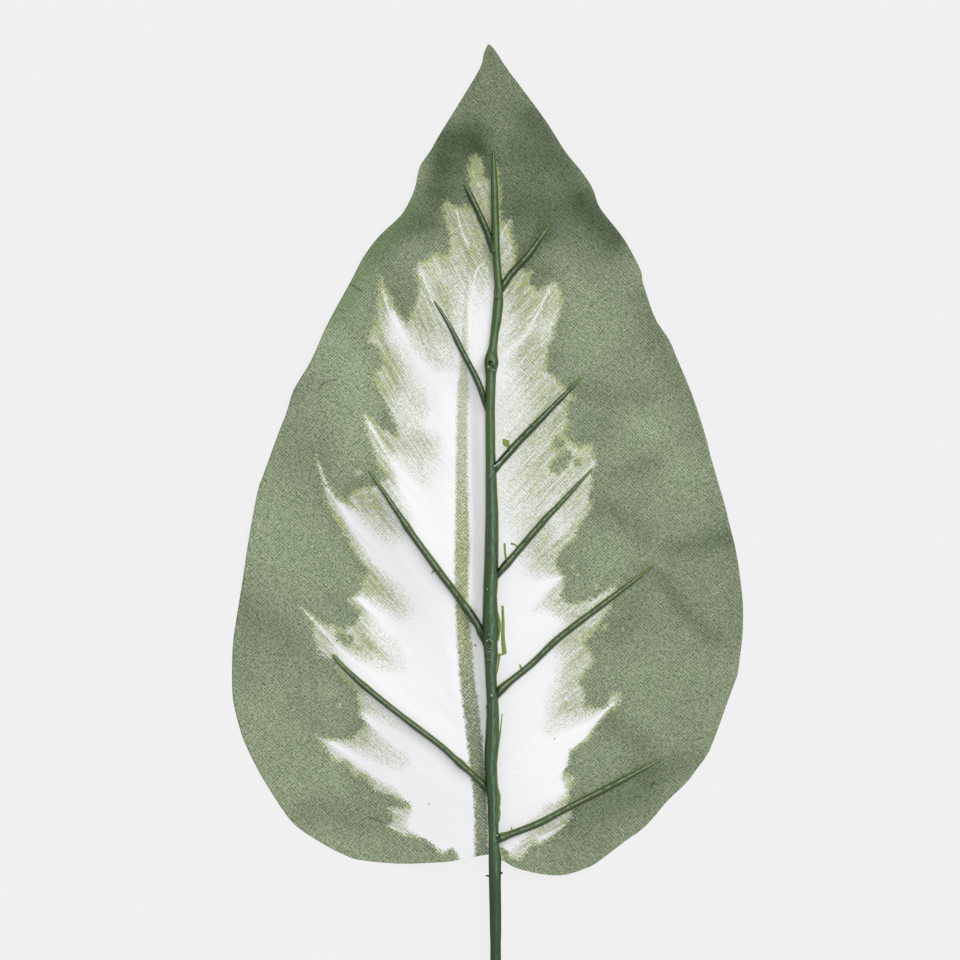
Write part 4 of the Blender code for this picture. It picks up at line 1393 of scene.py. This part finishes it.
# Painted shade in the crevices beside the ribs' roots and on a steep flank, painted highlights beside the
# second right rib's crevice, a dark streak below the gate, and the rings where the mould's halves met: both
# ends, half the width in millimetres, colour.
STROKES = [
    ((494.8, 464.2), (500.5, 457.8), 0.34, (14, 28, 20)), ((500.5, 457.8), (508, 450.4), 0.24, (26, 42, 28)),
    ((494.2, 466.4), (500.2, 461.6), 0.16, (186, 206, 198)),
    ((500.2, 461.6), (512, 449.6), 0.12, (136, 162, 142)),
    ((497.2, 570.2), (505.4, 560.2), 0.26, (22, 36, 22)),
    ((472.0, 610.6), (483.6, 630.0), 0.50, (40, 56, 42)),
    ((487.4, 650.6), (490.6, 650.8), 0.14, (118, 146, 116)),
    ((487.0, 658.6), (490.4, 658.8), 0.14, (110, 138, 108)),
    ((490.0, 645.0), (490.2, 649.6), 0.30, (40, 60, 44)),
    ((483.6, 395.0), (485.2, 403.0), 0.24, (30, 48, 30)),
]
# The plastic's colours between its marks, darker and lighter: on the midrib, high on it, and on the ribs.
MIDRIB_GREENS = ((40, 66, 34), (68, 98, 60))
HIGH_GREENS = ((50, 72, 32), (80, 106, 54))
RIB_GREENS = ((54, 72, 38), (82, 102, 62))
OLIVES = ((106, 124, 46), (156, 168, 82))
MARK_NOISE = (0.8, 3.0, 0.6)
SCRATCH_NOISE = (5.0, 2.0, 0.6)
DRAWN_NOISE = (1.0, 3.0, 0.6)
DRAWN_ALONG = (2.4, 0.25, 0.6)
# A painted highlight along each rib's top: how far it wanders, where it lies across the rib and how wide it
# is, in half widths.
RIB_HIGHLIGHT_WANDER = 0.6
RIB_HIGHLIGHT_AT = 0.05
RIB_HIGHLIGHT_WIDTH = 0.17


def make_moulding_material():
    """Dark green plastic, glossy where the mould was smooth, olive where it is thin enough to see through,
    with painted highlights on its tops and glints, and painted shade on its rims and in its crevices.
    """
    nodes = Nodes("green_moulded_plastic")
    place = nodes.place()
    marks = nodes.noise(place, *MARK_NOISE)
    fine = nodes.noise(place, *SCRATCH_NOISE)
    drawn = nodes.noise(nodes.vector("MULTIPLY", place, DRAWN_ALONG), *DRAWN_NOISE)
    rib, rim, upper, high = [nodes.values(name) for name in ("rib", "rim", "rib_upper", "high")]

    def between(share, colours):
        return nodes.mix(share, *[srgb(*colour) for colour in colours])

    colour = nodes.mix(high, between(marks, MIDRIB_GREENS), between(marks, HIGH_GREENS))
    colour = nodes.mix(rib, colour, between(marks, RIB_GREENS))
    # A painted highlight along each rib's top, broken up by the marks.
    line = (upper - marks.swing(RIB_HIGHLIGHT_WANDER, RIB_HIGHLIGHT_AT)).bell(RIB_HIGHLIGHT_WIDTH) * rib
    # Layers over the plastic's colours: among them painted highlights along the midrib's ridge and each rib,
    # and painted shade on the rims.
    for share, cover in (
            (rib * high * 0.5, (34, 62, 34)),
            # Painted highlight along the midrib's ridge.
            (nodes.values("ridge") * drawn.step(0.34, 0.62), (104, 138, 106)),
            # Painted highlight along each rib's top.
            (line * marks.step(0.34, 0.60) * 0.75, (150, 168, 146)),
            # Painted shade on the rims of the midrib and ribs.
            (rim * 0.6, (38, 56, 36)),
            (rib * upper.step(0.72, 0.95) * 0.75, (122, 126, 66)),
            (nodes.values("low") * 0.7, (42, 60, 44)),
            (nodes.values("rib_tip") * 0.78, (98, 124, 50)),
            (nodes.values("cream"), (206, 210, 184))):
        colour = nodes.mix(share, colour, srgb(*cover))
    colour = nodes.mix(nodes.values("olive"), colour, between(fine, OLIVES))
    # Painted shade and highlights in strokes, then painted glints.
    colour = with_specks(nodes, place, with_strokes(nodes, place, colour, STROKES), GLINTS)
    normal = nodes.bump(marks + fine * 0.25, 0.16 * MM, 0.6)
    return nodes.finish_with(Base_Color=colour, Roughness=marks * 0.24 + 0.26, Normal=normal,
                             Specular_IOR_Level=rim * -0.32 + 0.42)


def make_moulding(material):
    """Stem, midrib, boss, ribs, flash and lumps as one body."""
    moulding = make_midrib()
    into_scene(moulding)
    parts = [make_rib(name, pixels, width, LUMP_SEED + i)
             for i, (name, (pixels, width)) in enumerate(SIDE_RIBS.items())]
    parts += [make_flash(name, *shape) for name, shape in FLASH.items()]
    parts += [make_lump(name, *shape) for name, shape in LUMPS.items()]
    join_solids(moulding, "UNION", parts)
    join_solids(moulding, "DIFFERENCE", [upright_post(name, *shape) for name, shape in PITS.items()])
    join_solids(moulding, "UNION", [make_lump("boss_pin", *BOSS_PIN)])
    mesh = moulding.data
    mesh.name = "moulding"
    give_values(mesh, plastic_values)
    mesh.materials.clear()
    mesh.materials.append(material)
    mesh.shade_smooth()
    mesh.set_sharp_from_angle(angle=SHARP_ANGLE)
    return moulding


WIRE_RADIUS = 0.75
WIRE_END_SHARE = 0.8
WIRE_SHOWS = 1.5
WIRE_STOPS_SHORT = 1.5
WIRE_RINGS = 120
WIRE_SIDES = 24
WIRE_SCRATCHES = (6.0, 0.4, 6.0)


def make_steel_material():
    """Drawn steel wire, dull, with marks along it."""
    nodes = Nodes("steel_wire")
    scratches = nodes.noise(nodes.vector("MULTIPLY", nodes.place(), WIRE_SCRATCHES), *DRAWN_NOISE)
    colour = nodes.mix(scratches, srgb(150, 148, 144), srgb(196, 194, 190))
    return nodes.finish_with(Base_Color=colour, Roughness=scratches * 0.25 + 0.25, Metallic=1.0)


def make_wire(material):
    """The core wire, from just outside the stem's cut end up to the boss."""
    y = np.linspace(STEM_LINE[0][1] - WIRE_SHOWS, BOSS_AT - WIRE_STOPS_SHORT, WIRE_RINGS)
    radii = np.full(WIRE_RINGS, WIRE_RADIUS)
    radii[[0, -1]] *= WIRE_END_SHARE
    turns = 2 * math.pi * np.arange(WIRE_SIDES) / WIRE_SIDES
    rings = [[(x + radius * math.cos(turn), at, z + radius * math.sin(turn)) for turn in turns]
             for x, at, z, radius in zip(stem_x(y), y, stem_height(y), radii)]
    wire = tube("core_wire_visible", rings, smooth=True)
    into_scene(wire)
    wire.data.materials.append(material)
    return wire


FLOOR_SIDE = 6.0
FLOOR_GREY = srgb(240, 240, 240)[0]
FLOOR_GLOW = 0.93
PAPER_NOISE = (0.02, 2.0, 0.5)
PAPER_SWING = 0.01
SKY_STRENGTH = 0.52
KEY_STRENGTH = 1.95
LIGHT_LEVEL = 1.04
KEY_ANGLE = math.radians(46)
KEY_FROM = (0.38, 0.55, 1.0)
WHITE = (1.0, 1.0, 1.0, 1.0)
CLIP_START = 0.05


def make_floor():
    """A pale plain floor, with a little light of its own so that the leaf throws hardly any shadow on it."""
    nodes = Nodes("floor")
    paper = nodes.noise(nodes.place(), *PAPER_NOISE).swing(PAPER_SWING)
    glow = FLOOR_GREY * FLOOR_GLOW
    plain = FLOOR_GREY * (1 - FLOOR_GLOW) / LIGHT_LEVEL
    material = nodes.finish_with(Base_Color=nodes.scaled((plain, plain, plain), paper), Roughness=1.0,
                                 Specular_IOR_Level=0.0, Emission_Color=(glow, glow, glow, 1.0),
                                 Emission_Strength=1.0)
    half = FLOOR_SIDE / 2
    mesh = bpy.data.meshes.new("floor")
    corners = [(-half, -half, 0), (half, -half, 0), (half, half, 0), (-half, half, 0)]
    mesh.from_pydata(corners, [], [range(4)])
    mesh.materials.append(material)
    floor = bpy.data.objects.new("floor", mesh)
    into_scene(floor)


def make_light():
    """Even light from all round, and a broad soft key from the top of the photograph."""
    world = bpy.data.worlds.new("studio")
    world.use_nodes = True
    background = world.node_tree.nodes["Background"]
    background.inputs["Color"].default_value = WHITE
    background.inputs["Strength"].default_value = SKY_STRENGTH
    bpy.context.scene.world = world
    key = bpy.data.lights.new("key", "SUN")
    key.energy = KEY_STRENGTH
    key.angle = KEY_ANGLE
    lamp = bpy.data.objects.new("key", key)
    lamp.rotation_euler = Vector(KEY_FROM).to_track_quat("Z", "Y").to_euler()
    into_scene(lamp)


def make_camera():
    """Straight down, as wide as the photograph."""
    data = bpy.data.cameras.new("camera")
    data.sensor_width = SENSOR
    data.lens = SENSOR * (CAMERA_DISTANCE - CAMERA_FOCUS_HEIGHT) / (PHOTO_SIDE * PIXEL)
    data.clip_start = CLIP_START
    camera = bpy.data.objects.new("camera", data)
    x, y = seen([(PHOTO_MIDDLE, PHOTO_MIDDLE)])[0]
    camera.location = (x * MM, y * MM, CAMERA_DISTANCE * MM)
    into_scene(camera)
    bpy.context.scene.camera = camera
    bpy.context.scene.view_settings.view_transform = "Standard"


make_camera()
make_light()
make_floor()

back_print = make_cloth_material(
    "printed_cloth_back", 0.85, deep=(70, 88, 52), pale=(180, 190, 162), deep_spray=(159, 171, 107),
    pale_spray=(151, 159, 120), clear=(242, 242, 244), stripe=(140, 153, 84), low_stripe=(129, 140, 110),
    curl=(98, 128, 82))
face_print = make_cloth_material(
    "printed_cloth_face", 0.55, deep=(22, 60, 28), pale=(70, 116, 58), deep_spray=(96, 140, 54),
    pale_spray=(150, 178, 96), clear=(240, 238, 214), stripe=(72, 120, 58), low_stripe=(54, 100, 48),
    curl=(34, 76, 38))
cloth = make_cloth([back_print, face_print, make_rim_material()])
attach(cloth, "root")
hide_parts("blade")

moulding = make_moulding(make_moulding_material())
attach(moulding, "root")
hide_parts("stem_and_ribs")

wire = make_wire(make_steel_material())
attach(wire, "root")
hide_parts("core_wire")
